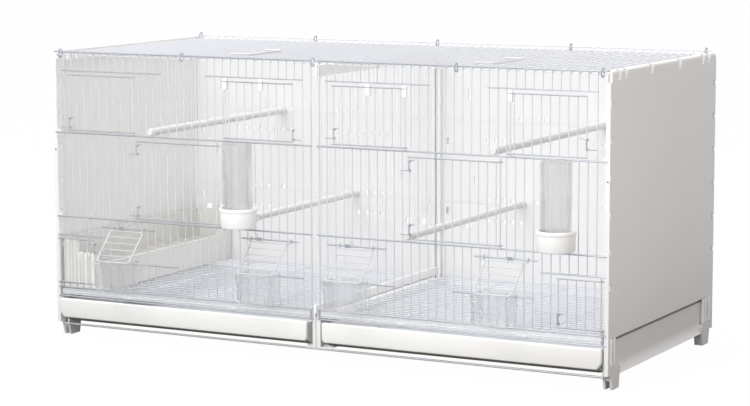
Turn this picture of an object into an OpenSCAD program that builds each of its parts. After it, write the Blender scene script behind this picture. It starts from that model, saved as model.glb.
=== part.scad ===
// Canary breeding cage: two compartments with a wire front and roof, moulded side panels on
// feet, a perforated back, wire floors over two pull-out trays and a pull-out divider.
// Millimetres. +X is to the right seen from the front, +Y goes to the back, +Z is up.

/* [Body] */
// Width over the two side panels
cage_w = 900; // [750:10:1080]
// Depth of the side panels, front to back
cage_d = 406; // [338:2:488]
// Height of the front grille's lower rail above the ground
floor_rail_z = 76; // [70:1:92]
// Height of the lower band, from the lower rail up to the second rail
low_band = 108; // [100:1:130]
// Height of the middle band with the large doors
mid_band = 127; // [106:1:153]
// Height of the upper band with the small doors
top_band = 121; // [101:1:146]

/* [Side panels] */
// Thickness of a side panel at its rim
panel_t = 6; // [5:0.5:8]
// Thickness of the skin inside the rim
skin_t = 3; // [2.5:0.5:4]
// Width of the rim round a side panel
rim_w = 16; // [14:1:20]
// Radius of the panel's upper corners
panel_r = 12; // [8:1:20]
// Height of the step above the recessed skirt
skirt_top = 71; // [64:1:85]
// Height of the skirt's lower edge
skirt_low = 19; // [17:1:22]
// Depth of one foot, front to back at its top
foot_d = 34; // [28:1:40]

/* [Wire] */
// Wanted distance between upright wires
wire_pitch = 13.3; // [11.5:0.1:16]
// Diameter of an upright wire
wire_d = 2.2; // [1.8:0.1:2.6]
// Diameter of a long horizontal rail
rail_d = 3.2; // [2.8:0.1:3.8]
// Diameter of a door's top and bottom wire
frame_d = 2.6; // [2.2:0.1:3]
// Diameter of a hinge wire
hinge_d = 3; // [2.6:0.1:3.4]

/* [Doors and flaps] */
// Height of the plain wire strip above the upper doors
top_strip = 28; // [22:1:34]
// Height of the corner doors' opening above the lower rail
corner_open = 80; // [70:1:90]
// Height of a feeder opening's lower rail above the lower rail
feeder_sill = 43.5; // [40:0.5:47]
// Distance of a feeder opening's hinge rail below the second rail
feeder_drop = 12.5; // [10:0.5:16]
// Width of a feeder flap
flap_w = 57; // [52:1:60]
// Length of a feeder flap from its hinge rail
flap_len = 62; // [56:1:66]
// Slope of a resting flap away from the upright
flap_lean = 45; // [40:1:50]
// Height of a latch's upright bar
latch_h = 15; // [12:1:18]

/* [Cups and silos] */
// Width of a clear feeder cup
cup_w = 57; // [48:1:60]
// Height of a clear feeder cup
cup_h = 42; // [34:1:44]
// Wall of a clear feeder cup
cup_wall = 1.6; // [1.2:0.1:2]
// Outer diameter of a silo's cup
silo_cup_d = 54.6; // [46:0.2:64]
// Height of a silo's cup
silo_cup_h = 29; // [24:1:34]
// Outer diameter of a silo's tube
silo_tube_d = 44; // [38:0.2:44.4]
// Height of a silo's tube
silo_tube_h = 118; // [92:1:119]
// Wall of a silo's tube and cup
silo_wall = 1.6; // [1.2:0.1:2]

/* [Inside] */
// Diameter of a perch
perch_d = 11; // [9:0.5:13]
// Distance between the wires of a floor grille
floor_pitch = 13; // [11:0.5:16]
// Width of the long side trough
trough_w = 62; // [52:1:74]
// Height of the trough's tall side, back and front
trough_h = 80; // [68:1:84]
// Height of the trough's low side
trough_low = 42; // [35:1:50]
// Wall of the trough
trough_wall = 2; // [1.6:0.1:2.4]
// Height of the divider's solid header
header_h = 16; // [12:1:20]
// Height of the divider's bottom strip
strip_h = 12; // [8:1:14]
// Thickness of the divider's strips
divider_t = 4; // [3:0.2:4.4]

/* [Trays] */
// Height of a tray's front plate
tray_front_h = 29; // [25:1:29]
// Height of a tray's body
tray_body_h = 32; // [27:1:34]
// Wall of a tray
tray_wall = 2; // [1.6:0.1:2.4]
// Thickness of a back panel
back_t = 2.5; // [2:0.1:3]

/* [Hidden] */

seat = 0.3;                 // clearance where one piece rests on or slides in another
weld = 0.6;                 // depth by which crossing wires are melted together
sides = 6;                  // flats on a drawn wire, which face along Y on the front
corner = 1 / cos(180 / sides);
rail_r = rail_d * corner / 2; // a rail's reach up and down, over its corners

// Heights of the front grille's rails
z3 = floor_rail_z;
z2 = z3 + low_band;
z1 = z2 + mid_band;
z_top = z1 + top_band;
z_door_rail = z_top - top_strip;
z_corner = z3 + corner_open;
z_sill = z3 + feeder_sill;
z_flap = z2 - feeder_drop;
z_low = z3 - 13.5;

// The side panels
half_w = cage_w / 2;
half_d = cage_d / 2;
panel_top = z_top;
inner = half_w - panel_t;   // inner face of a side panel's rim

// The wire plane of the front, and what lies before it
front_y = -half_d + 2;
rail_y = front_y - (wire_d + rail_d) / 2 + weld;
door_y = rail_y - rail_d / 2 - 0.5 - wire_d / 2;
door_rail_y = door_y - (wire_d + frame_d) / 2 + weld;
hinge_y = rail_y - rail_d / 2 - hinge_d / 2 + 0.4;

// Upright wires are numbered from the middle outwards: 0 beside the divider, last at the panel
center_off = 6.6;
edge_gap = 12.8;
last = round((inner - edge_gap - center_off) / wire_pitch);
pitch = (inner - edge_gap - center_off) / last;
function wire_x(k) = center_off + k * pitch;

// Doors: [side, latch wire, hinge wire, bottom, top], side -1 left, 1 right
hinge_gap = 6;
upper_low = z1 + 4.8;
upper_high = z_door_rail - 6;
middle_low = z2 + 5;
middle_high = z1 - 7.5;
corner_low = z3 + 8;
corner_high = z_corner - 5.5;
door_1 = [-1, last - 1, last - 9, upper_low, upper_high];
door_2 = [-1, 2, 10, upper_low, upper_high];
door_3 = [1, 2, 10, upper_low, upper_high];
door_4 = [1, last - 1, last - 9, upper_low, upper_high];
door_ml = [-1, last - 10, last - 20, middle_low, middle_high];
door_mr = [1, last - 21, last - 11, middle_low, middle_high];
door_cl = [-1, last - 4, last, corner_low, corner_high];
door_cr = [1, last - 4, last, corner_low, corner_high];
corner_hinge_x = inner - 3.5;
function hinge_x(d) = d[2] == last ? corner_hinge_x
    : wire_x(d[2]) + (d[2] > d[1] ? hinge_gap : -hinge_gap);

// Feeder openings: flap's middle in wire numbers, the lower rail's two end wires, the spring's gap
feeder_1 = [-1, last - 8.5, last - 15, last - 4, last - 7.5];
feeder_2 = [-1, 5.1, 1, 9, 6.5];
feeder_3 = [1, 4.6, 1, 9, 3.5];
feeder_4 = [1, last - 10, last - 16, last - 7, last - 9.5];
cup_shift = -6;             // the cups hang a little to the left of their flaps

// Silos hang before the wires: [side, middle of the gap that the spout enters, cup's offset]
silo_left = [-1, last - 24.5, 4.8];
silo_right = [1, last - 3.5, 0];
// A tube lifts past the shut door above it, so it stands in the front of its cup
tube_y = door_rail_y - frame_d / 2 - seat - silo_tube_d / 2;
tube_play = 0.5;            // least gap between a tube and the wall of its cup
silo_lip = 1.2;             // thickening of that wall below the rim
silo_y = min(front_y - wire_d / 2 - seat - silo_cup_d / 2,
    tube_y + (silo_cup_d - silo_tube_d) / 2 - silo_wall - silo_lip - tube_play);
silo_z = z2 + 6.5;

// Perches lie between two wires and rest on a rail
perch_tenon = 9;
perch_lift = rail_r + seat + perch_tenon / 2;
perch_upper_k = last - 11.5;
perch_lower_k = 10.5;

// The back
back_y = half_d - 13;
back_low = z_low + 5;
back_high = z_top - 7.5;
peg_d = 4;
post_half = 6.5;

// The roof
roof_wire_d = 2;
roof_z = z_top - 2.8;
roof_rail_z = roof_z - (roof_wire_d + rail_d) / 2 + weld;
roof_front_y = front_y + max(wire_d / 2 + 0.6, rail_d / 2 + 0.1) + rail_d / 2;
roof_back_y = half_d - 7.5;
roof_rails = [roof_front_y, -half_d / 3, half_d / 3, half_d - 24];
roof_back_z = z_top + 2.4;
roof_n = 2 * last + 1;

// Floor grille, trays and what carries them
ledge_t = 3.2;
floor_ledge_z = z_low + rail_r;
floor_bar_z = floor_ledge_z + seat + rail_d / 2;
floor_wire_z = floor_bar_z + (rail_d + 2) / 2 - weld;
floor_back = back_y - 4;
tray_ledge_z = 23.2;
tray_z = tray_ledge_z + seat;
tray_inner_x = 14.5;
foot_inner_x = half_w - 13;
tray_outer_x = foot_inner_x - 1.5;
tray_front_y = rail_y - rail_d / 2 - 1;
tray_front_top = z_low - rail_d / 2 - 1.9;
tie_d = 3.2;
tie_z = 19;
tie_y = half_d - 4;
tie_r = tie_d * corner / 2;

// The trough stands on the left floor grille against the side panel
trough_z = floor_wire_z + corner + seat;
trough_x = inner - 3;
trough_front = half_d - 6.5;
trough_back = back_y - 2.5;

// Cups hang before the front on the feeder opening's lower rail
cup_back = rail_y - rail_d / 2 - 0.4;
flap_run = flap_len * sin(flap_lean);
flap_fall = flap_len * cos(flap_lean);
cup_top = z_flap - flap_fall - frame_d / 2 - 0.4;
cup_d = -(rail_y - flap_run) + cup_back + 5;
cup_r = 9;

// The origin stands under the middle of the whole object's box, silos included
front_reach = -silo_y + silo_cup_d / 2;
shift_y = (front_reach - half_d) / 2;
module place() { translate([0, shift_y, 0]) children(); }
module side(s) { if (s < 0) mirror([1, 0, 0]) children(); else children(); }

function arc(cx, cy, r, a0, a1, n) =
    [for (i = [0 : n]) [cx + r * cos(a0 + (a1 - a0) * i / n), cy + r * sin(a0 + (a1 - a0) * i / n)]];
function round_rect(x0, y0, x1, y1, r, n = 4) = concat(
    arc(x1 - r, y1 - r, r, 0, 90, n), arc(x0 + r, y1 - r, r, 90, 180, n),
    arc(x0 + r, y0 + r, r, 180, 270, n), arc(x1 - r, y0 + r, r, 270, 360, n));

// A drawing in (y, z) made solid along X, from x0 to x1
module along_x(x0, x1) { translate([x0, 0, 0]) rotate([90, 0, 90]) linear_extrude(x1 - x0) children(); }
// A drawing in (x, z) made solid along Y, from y0 to y1
module along_y(y0, y1) { translate([0, y1, 0]) rotate([90, 0, 0]) linear_extrude(y1 - y0) children(); }
module box(x0, y0, z0, x1, y1, z1) { translate([x0, y0, z0]) cube([x1 - x0, y1 - y0, z1 - z0]); }

// Straight wires along each axis, drawn with flats
module wire_up(x, y, z0, z1, d) {
    translate([x, y, z0]) cylinder(h = z1 - z0, d = d * corner, $fn = sides);
}
module wire_across(x0, x1, y, z, d) {
    translate([x0, y, z]) rotate([0, 90, 0]) cylinder(h = x1 - x0, d = d * corner, $fn = sides);
}
module wire_deep(x, y0, y1, z, d) {
    translate([x, y1, z]) rotate([90, 0, 0]) cylinder(h = y1 - y0, d = d * corner, $fn = sides);
}

// ---- Side panels ----

foot_y0 = -half_d + 12;              // front face of a front foot
foot_y1 = foot_y0 + foot_d;
foot_top = skirt_low + 18;
flare_z = skirt_low + 9;
slot_w = 5;
slot_h = 10;
slot_step = 49.5;
slot_in = 8.5;

module panel_outline(inset) {
    r = max(panel_r - inset, 2);
    polygon(concat([[-half_d + inset, skirt_top + inset], [half_d - inset, skirt_top + inset]],
        arc(half_d - inset - r, panel_top - inset - r, r, 0, 90, 5),
        arc(-half_d + inset + r, panel_top - inset - r, r, 90, 180, 5)));
}
module slot(y, z) {
    along_x(inner - 1, half_w + 1) polygon(round_rect(y - slot_w / 2, z - slot_h / 2,
        y + slot_w / 2, z + slot_h / 2, slot_w / 2 - 0.1, 3));
}
module skirt() {
    bend = 30;
    cx = inner + bend;
    turn = asin((flare_z + 8 - skirt_low) / bend);
    along_y(-half_d + foot_d - 8, half_d - foot_d + 8) polygon(concat(
        [[inner + 0.3, skirt_top + 9], [inner - 2.5, skirt_top + 9]],
        arc(cx, flare_z + 8, bend + 2.5, 180, 180 + turn, 5),
        arc(cx, flare_z + 8, bend, 180 + turn, 180, 5), [[inner, skirt_top - 0.5], [inner + 0.3,
            skirt_top - 0.5]]));
}
module foot() {
    outline = [[foot_y0 - 1, foot_top], [foot_y0 + 18, foot_top], [foot_y1, flare_z],
        [foot_y1 - 4, skirt_low - 1], [foot_y1 - 7, 0], [foot_y0 + 4.5, 0], [foot_y0, skirt_low - 1]];
    along_x(half_w - 3.5, half_w) polygon(outline);
    along_x(foot_inner_x, foot_inner_x + 3.2) polygon(outline);
    along_x(foot_inner_x, half_w) polygon([[foot_y1 - 10, 0], [foot_y1 - 7, 0], [foot_y1 - 4,
        skirt_low - 1],
        [foot_y1, flare_z], [foot_y1 - 3, flare_z], [foot_y1 - 7, skirt_low - 1]]);
    box(foot_inner_x, foot_y0 + 1, flare_z, half_w, foot_y1 - 2, flare_z + 3);
    // The tie wire's hook lies on this ledge
    box(foot_inner_x, foot_y0 + 4, 12, half_w - 0.5, foot_y0 + 16, tie_z - tie_r - seat);
    // Flange and two ribs that carry the corner
    box(inner, -half_d, tie_z + tie_r + seat, half_w, foot_y0 + 0.5, skirt_top + 6);
    for (y = [foot_y0, foot_y0 + 12]) box(inner, y, foot_top - 1, half_w, y + 2.8, skirt_top + 6);
    box(inner - 2.5, foot_y0 - 8, foot_top - 4, inner + 0.5, foot_y1 - 4, floor_ledge_z - 1);
}
module side_panel() {
    color("whitesmoke") difference() {
        union() {
            along_x(half_w - skin_t, half_w) panel_outline(0);
            along_x(inner, half_w - skin_t + 0.2) difference() {
                panel_outline(0);
                panel_outline(rim_w);
            }
            skirt();
            foot();
            mirror([0, 1, 0]) foot();
            // Ledges for the floor grille and the tray
            box(inner - 8, -half_d + 12, floor_ledge_z - ledge_t, inner + 0.5, floor_back, floor_ledge_z);
            box(inner - 14, -half_d + foot_d, tray_ledge_z - ledge_t, inner - 0.8, half_d - foot_d,
                tray_ledge_z);
            // Rests for the roof grille's ends
            for (y = roof_rails)
                box(inner - 4, y - 4, roof_rail_z - rail_r - seat - 4, inner + 0.5, y + 4,
                    roof_rail_z - rail_r - seat);
            // Rests behind the front rails' ends
            for (z = [z1, z2, z3 + 5])
                box(inner - 5, rail_y + rail_d / 2 + seat, z - 4, inner + 0.5, -trough_front - 2, z + 4);
        }
        // Rounded upper edge
        along_y(-half_d - 1, half_d + 1) polygon(concat([[half_w + 1, panel_top + 1], [half_w + 1,
            panel_top - 4]],
            arc(half_w - 4, panel_top - 4, 4, 0, 90, 4), [[half_w - 4, panel_top + 1]]));
        for (s = [-1, 1]) {
            for (z = [panel_top - 44 : -slot_step : skirt_top + 60]) slot(s * (half_d - slot_in), z);
            for (y = [54, 0.75 * half_d - 3, 0.75 * half_d + 20]) if (y < half_d - 2 * panel_r)
                slot(s * y, panel_top - 9);
        }
    }
}

// ---- Back ----

hole_step = 13.9;
back_half = (inner - seat - post_half - seat) / 2;
back_mid = post_half + seat + back_half;
groove_h = 4;

module back_cut(u, z, w, h) {
    if (u + w / 2 < back_half - 4) for (s = [-1, 1])
        translate([back_mid + s * u - w / 2, back_y - 1, z - h / 2]) cube([w, back_t + 3, h]);
}
module back_hole(u, z) {
    if (u < back_half - 8) for (s = [-1, 1])
        translate([back_mid + s * u, back_y - 1, z]) rotate([-90, 0, 0]) rotate([0, 0,
            22.5]) cylinder(h = back_t + 3, d = 5, $fn = 8);
}
module back_panel() {
    color("white") difference() {
        union() {
            box(back_mid - back_half, back_y, back_low, back_mid + back_half, back_y + back_t, back_high);
            // Stiffening rim at the back
            difference() {
                box(back_mid - back_half + 6, back_y + back_t - 0.2, back_low, back_mid + back_half,
                    back_y + back_t + 4, back_high);
                box(back_mid - back_half + 8, back_y + 1, back_low + 2, back_mid + back_half - 2,
                    back_y + back_t + 5, back_high - 2);
            }
            // The two beads that stand out behind the grooves
            for (z = [z1 + 2, z2 + 1]) box(back_mid - back_half + 7, back_y + back_t - 0.2, z - 4,
                back_mid + back_half - 1, back_y + back_t + 1, z + 4);
        }
        for (z = [z1 + 2, z2 + 1]) box(back_mid - back_half - 1, back_y - 1, z - groove_h / 2,
            back_mid + back_half + 1, back_y + 0.8, z + groove_h / 2);
        for (u = [100, 170]) back_cut(u, z1 + 45, 4, 19);
        for (u = [70, 208]) back_cut(u, z2 + 98, 4, 10);
        back_cut(161, z2 + 39, 4, 10);
        back_cut(209, z2 - 12, 4, 11);
        for (u = [173, 198]) back_cut(u, z2 - 32, 11, 10);
        for (i = [3, 4, 6]) back_hole(i * hole_step, z1 + 10);
        for (i = [3, 4, 6, 7, 8, 9, 10]) back_hole(i * hole_step, z2 + 102);
        for (i = [4, 6, 7, 8, 9, 10]) back_hole(i * hole_step, z2 + 9);
        for (i = [6, 7, 8, 9, 10]) back_hole(i * hole_step, z2 - 24);
        // Sockets for the perches' pegs
        for (p = [[perch_upper_k, z1], [perch_lower_k, z2]])
            translate([wire_x(p[0]), back_y - 1, p[1] + perch_lift]) rotate([-90, 0,
                0]) cylinder(h = back_t + 3, d = peg_d + 2 * seat, $fn = 24);
    }
}
module back_center_post() {
    color("white") {
        for (s = [-1, 1]) side(s) box(divider_t / 2 + seat + 0.2, back_y - 8, tray_ledge_z + 10,
            post_half, back_y + back_t + 3.5, z_top - 6);
        box(-16, back_y + back_t + seat, tray_ledge_z + 10, 16, back_y + back_t + 3.5, back_low - 0.4);
        box(-12, back_y + back_t + seat, back_low - 0.5, 12, back_y + back_t + 3.5, z_top - 6);
    }
}

// ---- Middle beam between the two trays ----

module center_beam() {
    y_end = back_y - 1;
    color("white") {
        box(-2, -half_d + 8, tray_ledge_z - ledge_t, 2, y_end, floor_ledge_z - 0.5);
        box(-22, -half_d + 14, tray_ledge_z - ledge_t, 22, y_end, tray_ledge_z);
        box(-16, -half_d + 10, floor_ledge_z - ledge_t, 16, y_end - 8, floor_ledge_z);
        // Front stile of two ridges
        box(-5.5, -half_d + 6, tie_z + tie_r + seat, 5.5, -half_d + 9, floor_ledge_z);
        for (s = [-1, 1]) side(s) box(1.8, -half_d + 2.6, tie_z + tie_r + seat, post_half, -half_d + 9,
            z3 - 6.5);
        // Foot of the stile round the back centre post
        box(-post_half, y_end - 6, tray_ledge_z - ledge_t, post_half, y_end + 7, tray_ledge_z + 9.5);
    }
}

// ---- Front grilles ----

// Stretches of an upright wire between these heights are there or missing
levels = [z3, z_sill, z_corner, z_flap, z2, z1, z_door_rail, z_top];
function opening(s, k, i) =
    let (z = (levels[i] + levels[i + 1]) / 2,
         dz = s < 0 ? [door_1, door_2, door_ml, door_cl] : [door_3, door_4, door_mr, door_cr],
         lo = [z1, z1, z2, z3], hi = [z_door_rail, z_door_rail, z1, z_corner],
         fz = s < 0 ? [feeder_1, feeder_2] : [feeder_3, feeder_4])
    len([for (j = [0 : 3]) if (z > lo[j] && z < hi[j] && k >= min(dz[j][1],
        dz[j][2]) && k <= max(dz[j][1], dz[j][2])) 1])
    + len([for (f = fz) if (z > z_sill && z < z_flap && abs(k - f[1]) < 2) 1]) > 0;
function run_end(s, k, i) = i + 1 > len(levels) - 2 || opening(s, k, i + 1) ? i : run_end(s, k, i + 1);

module hinge_wire(d, z_from, z_to) {
    translate([hinge_x(d), hinge_y, z_from]) cylinder(h = z_to - z_from, d = hinge_d, $fn = 24);
}
// The rail over a door is thinner than the others, and still welded to the uprights
door_bar_y = max(rail_y, front_y - (wire_d + frame_d) / 2 + weld / 2);
module door_rail(k0, k1) { wire_across(wire_x(k0) - 2, wire_x(k1) + 2, door_bar_y, z_door_rail, frame_d); }

module front_grille(s) {
    out = inner - seat;
    color("lightsteelblue") side(s) {
        for (k = [0 : last], i = [0 : len(levels) - 2])
            if (!opening(s, k, i) && (i == 0 || opening(s, k, i - 1)))
                wire_up(wire_x(k), front_y, levels[i], levels[run_end(s, k, i) + 1],
                    k == 0 ? rail_d : wire_d);
        for (z = [z_top, z1, z2, z3]) wire_across(center_off - 2.6, out, rail_y, z, rail_d);
        // The lowest rail hangs from two end wires
        wire_across(center_off - 1.6, out, rail_y, z_low, rail_d);
        wire_up(center_off, rail_y, z_low, z3, rail_d);
        wire_up(out - rail_d / 2, rail_y, z_low, z3, rail_d);
        door_rail(1, 13);
        door_rail(last - (s < 0 ? 13 : 12), last);
        wire_across(wire_x(last - (s < 0 ? 5 : 6)) - 2, out, rail_y, z_corner, rail_d);
        for (d = s < 0 ? [door_1, door_2] : [door_3, door_4]) hinge_wire(d, z1, z_door_rail);
        hinge_wire(s < 0 ? door_ml : door_mr, z2, z1);
        hinge_wire(s < 0 ? door_cl : door_cr, z3, z_corner);
        for (f = s < 0 ? [feeder_1, feeder_2] : [feeder_3, feeder_4]) {
            // The flap turns on this round rail
            translate([wire_x(f[1] - 3.5), rail_y, z_flap]) rotate([0, 90, 0]) cylinder(h = 7 * pitch,
                d = rail_d, $fn = 24);
            wire_across(wire_x(f[2]) - 2, wire_x(f[3]) + 2, rail_y, z_sill, rail_d);
        }
    }
}

// ---- Doors ----

eye_t = 2.4;
eye_d = hinge_d + 2 * seat + 3;

// An eye that turns on an upright hinge wire
module eye(x, z) {
    translate([x, hinge_y, z - eye_t / 2]) difference() {
        cylinder(h = eye_t, d = eye_d, $fn = 32);
        translate([0, 0, -1]) cylinder(h = eye_t + 2, d = hinge_d + 2 * seat, $fn = 32);
    }
}
module door(d) {
    k0 = min(d[1], d[2]);
    k1 = max(d[1], d[2]);
    hx = hinge_x(d);
    lx = wire_x(d[1]);
    way = hx > lx ? 1 : -1;
    color("lightsteelblue") side(d[0]) {
        for (k = [k0 : k1]) wire_up(wire_x(k), door_y, d[3], d[4], wire_d);
        for (z = [d[3], d[4]]) {
            wire_across(min(lx - way * 1.2, hx - way * 2.6), max(lx - way * 1.2, hx - way * 2.6),
                door_rail_y, z, frame_d);
            eye(hx, z);
        }
    }
}
// A wire latch: two eyes on the door's edge wire, a bar, and an arm each way
module latch(d, z) {
    x = wire_x(d[1]);
    way = hinge_x(d) > x ? 1 : -1;
    bar_y = door_y - wire_d / 2 - seat - 1;
    tip = bar_y + 3;
    finger = pitch - wire_d - 1.8;  // short enough to turn in between the door's wires
    color("slategray") side(d[0]) {
        wire_up(x, bar_y, z, z + latch_h, 2);
        for (e = [z, z + latch_h - 2]) difference() {
            wire_up(x, door_y, e, e + 2, wire_d + 2 * seat + 2.6);
            wire_up(x, door_y, e - 1, e + 3, wire_d + 2 * seat);
        }
        wire_across(min(x, x + way * finger), max(x, x + way * finger), bar_y, z + latch_h - 1, 1.8);
        wire_across(min(x, x - way * pitch), max(x, x - way * pitch), bar_y, z + 1, 1.8);
        wire_deep(x - way * pitch, bar_y, tip, z + 1, 1.8);
    }
}

// ---- Feeder flaps and cups ----

// The eyes sit midway between two upright wires, as near as can be to the flap's sides
function eye_gap(f, s) = round(f[1] + s * flap_w / 2 / pitch - 0.5) + 0.5;
function eye_x(f, s) = wire_x(eye_gap(f, s)) - wire_x(f[1]);
// The spring keeps to the gaps between the two eyes
function coil_gap(f) = min(max(f[4], eye_gap(f, -1) + 1), eye_gap(f, 1) - 1);
module feeder_flap(f) {
    half = flap_w / 2;
    top = spring_r + spring_wire / 2 + 1.9;
    color("silver") side(f[0]) translate([wire_x(f[1]), rail_y, z_flap]) rotate([-flap_lean, 0, 0]) {
        for (s = [-1, 1]) {
            wire_up(s * half, 0, -flap_len, -top, frame_d);
            wire_up(eye_x(f, s), 0, -top, -rail_d / 2 - seat - 0.6, 2);
            translate([eye_x(f, s) - eye_t / 2, 0, 0]) rotate([0, 90, 0]) difference() {
                cylinder(h = eye_t, d = rail_d + 2 * seat + 3, $fn = 32);
                translate([0, 0, -1]) cylinder(h = eye_t + 2, d = rail_d + 2 * seat, $fn = 32);
            }
        }
        wire_across(min(eye_x(f, -1), -half) - 1, max(eye_x(f, 1), half) + 1, 0, -top, 2);
        wire_across(-half - 1, half + 1, 0, -flap_len, frame_d);
        for (i = [1 : 4]) wire_across(-half - 1, half + 1, 0, -flap_len * (0.06 + 0.188 * i), 2);
    }
}
// A closing spring wound round the hinge rail, as one tube with a short leg at each end
spring_wire = 1.2;
spring_turns = 4;
spring_rise = 2;
spring_leg = 7;
spring_r = rail_d / 2 + seat + spring_wire / 2;
spring_n = spring_turns * 8;
function coil_at(i) = let (a = i * 45, r = spring_r)
    i < 0 ? [0, r, -spring_leg]
    : i > spring_n ? [spring_n * spring_rise / 8, r, spring_leg]
    : [i * spring_rise / 8, r * cos(a), r * sin(a)];
spring_axis = [for (i = [-1 : spring_n + 1]) coil_at(i)];
function unit(v) = v / norm(v);
function ring_at(i) =
    let (n = len(spring_axis), t = unit(spring_axis[min(i + 1, n - 1)] - spring_axis[max(i - 1, 0)]),
         b = unit(cross(t, [1, 0, 0])), c = cross(b, t))
    [for (j = [0 : 5]) spring_axis[i] + spring_wire / 2 * (cos(60 * j) * b + sin(60 * j) * c)];
spring_gap = min([for (i = [0 : len(spring_axis) - 1], j = [i + 5 : 1 : len(spring_axis) - 1])
    norm(spring_axis[i] - spring_axis[j]) - spring_wire]);
module flap_spring(f) {
    n = len(spring_axis);
    echo(flap_spring_least_gap = spring_gap);
    color("gray") side(f[0]) translate([wire_x(coil_gap(f)) - spring_n * spring_rise / 16, rail_y, z_flap])
        polyhedron(points = [for (i = [0 : n - 1]) each ring_at(i)],
            faces = concat([[for (j = [0 : 5]) 5 - j]], [[for (j = [0 : 5]) (n - 1) * 6 + j]],
                [for (i = [0 : n - 2], j = [0 : 5]) each [
                    [i * 6 + j, i * 6 + (j + 1) % 6, (i + 1) * 6 + j],
                    [i * 6 + (j + 1) % 6, (i + 1) * 6 + (j + 1) % 6, (i + 1) * 6 + j]]]));
}
module feeder_cup(f) {
    w = cup_w / 2;
    color([0.9, 0.95, 0.97, 0.5]) side(f[0]) translate([wire_x(f[1]) + f[0] * cup_shift, cup_back,
        cup_top - cup_h]) {
        difference() {
            linear_extrude(cup_h) polygon(round_rect(-w, -cup_d, w, 0, cup_r, 5));
            translate([0, 0, cup_wall]) linear_extrude(cup_h) polygon(round_rect(-w + cup_wall,
                -cup_d + cup_wall,
                w - cup_wall, -cup_wall, cup_r - cup_wall, 5));
        }
        // Lip over the opening's lower rail
        lip_z = z_sill + rail_r + seat - cup_top + cup_h;
        lip = w - cup_r - 3;
        box(-lip, -cup_wall / 2, lip_z, lip, rail_d + 2.5, lip_z + 1.6);
    }
}

// ---- Silos ----

module silo_at(p) { side(p[0]) translate([wire_x(p[1]) + p[2], silo_y, silo_z]) children(); }
module silo_cup(p) {
    r = silo_cup_d / 2;
    spout = pitch - wire_d - 2.4;
    color("white") silo_at(p) {
        rotate_extrude($fn = 64) polygon([[0, 0], [r - 3, 0], [r - 1.2, 1.8], [r - 1.2, silo_cup_h - 5],
            [r, silo_cup_h - 4], [r, silo_cup_h], [r - silo_wall, silo_cup_h], [r - silo_wall - silo_lip,
                silo_cup_h - 5],
            [r - silo_wall - silo_lip, 3], [r - silo_wall - 2.5, 2], [0, 2]]);
        // Three pads under the tube
        for (a = [90, 210, 330]) rotate([0, 0, a]) box(silo_tube_d / 2 - 4, -3, 1.8, r - silo_wall - 1,
            3, 4);
        // Spout between two wires
        translate([-p[2], 0, 0]) difference() {
            box(-spout / 2, r - 2.2, 5, spout / 2, r + 17, 15);
            box(-spout / 2 + 1.5, r - 1, 6.6, spout / 2 - 1.5, r + 15.4, 16);
        }
    }
}
module silo_tube(p) {
    r = silo_tube_d / 2;
    low = 4 + seat;
    color([0.85, 0.92, 0.95, 0.4]) silo_at(p) translate([0, tube_y - silo_y, low])
        rotate_extrude($fn = 64)
        polygon([[r - silo_wall, 0], [r, 0], [r, silo_tube_h - 3], [r - 2, silo_tube_h], [0, silo_tube_h],
            [0, silo_tube_h - silo_wall], [r - silo_wall - 1, silo_tube_h - silo_wall], [r - silo_wall,
                silo_tube_h - silo_wall - 1.5]]);
}

// ---- Perches ----

module perch(s, k, rail) {
    color("ivory") side(s) translate([wire_x(k), 0, rail + perch_lift]) rotate([-90, 0, 0]) {
        translate([0, 0, front_y + wire_d / 2 + 1.4]) cylinder(h = back_y - seat - front_y - wire_d / 2
            - 1.4, d = perch_d, $fn = 48);
        translate([0, 0, rail_y + 0.2]) cylinder(h = 8, d = perch_tenon, $fn = 48);
        translate([0, 0, back_y - 5]) cylinder(h = 9, d = peg_d, $fn = 24);
    }
}

// ---- Roof ----

module roof_grille() {
    out = inner - seat;
    front = front_y + rail_d / 2 + 0.4;
    color("lightsteelblue") {
        for (i = [0 : roof_n]) {
            x = (i - roof_n / 2) * 2 * wire_x(last) / roof_n;
            wire_deep(x, front, roof_back_y + 0.6, roof_z, roof_wire_d);
            wire_up(x, roof_back_y, roof_z - 0.5, roof_back_z, roof_wire_d + 0.3);
        }
        for (y = roof_rails) wire_across(-out, out, y, roof_rail_z, rail_d);
        wire_across(-out, out, roof_back_y, roof_back_z, rail_d);
    }
}
clip_d = 2;
clip_x = [0.493 * half_w, inner - 6.5];
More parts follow.
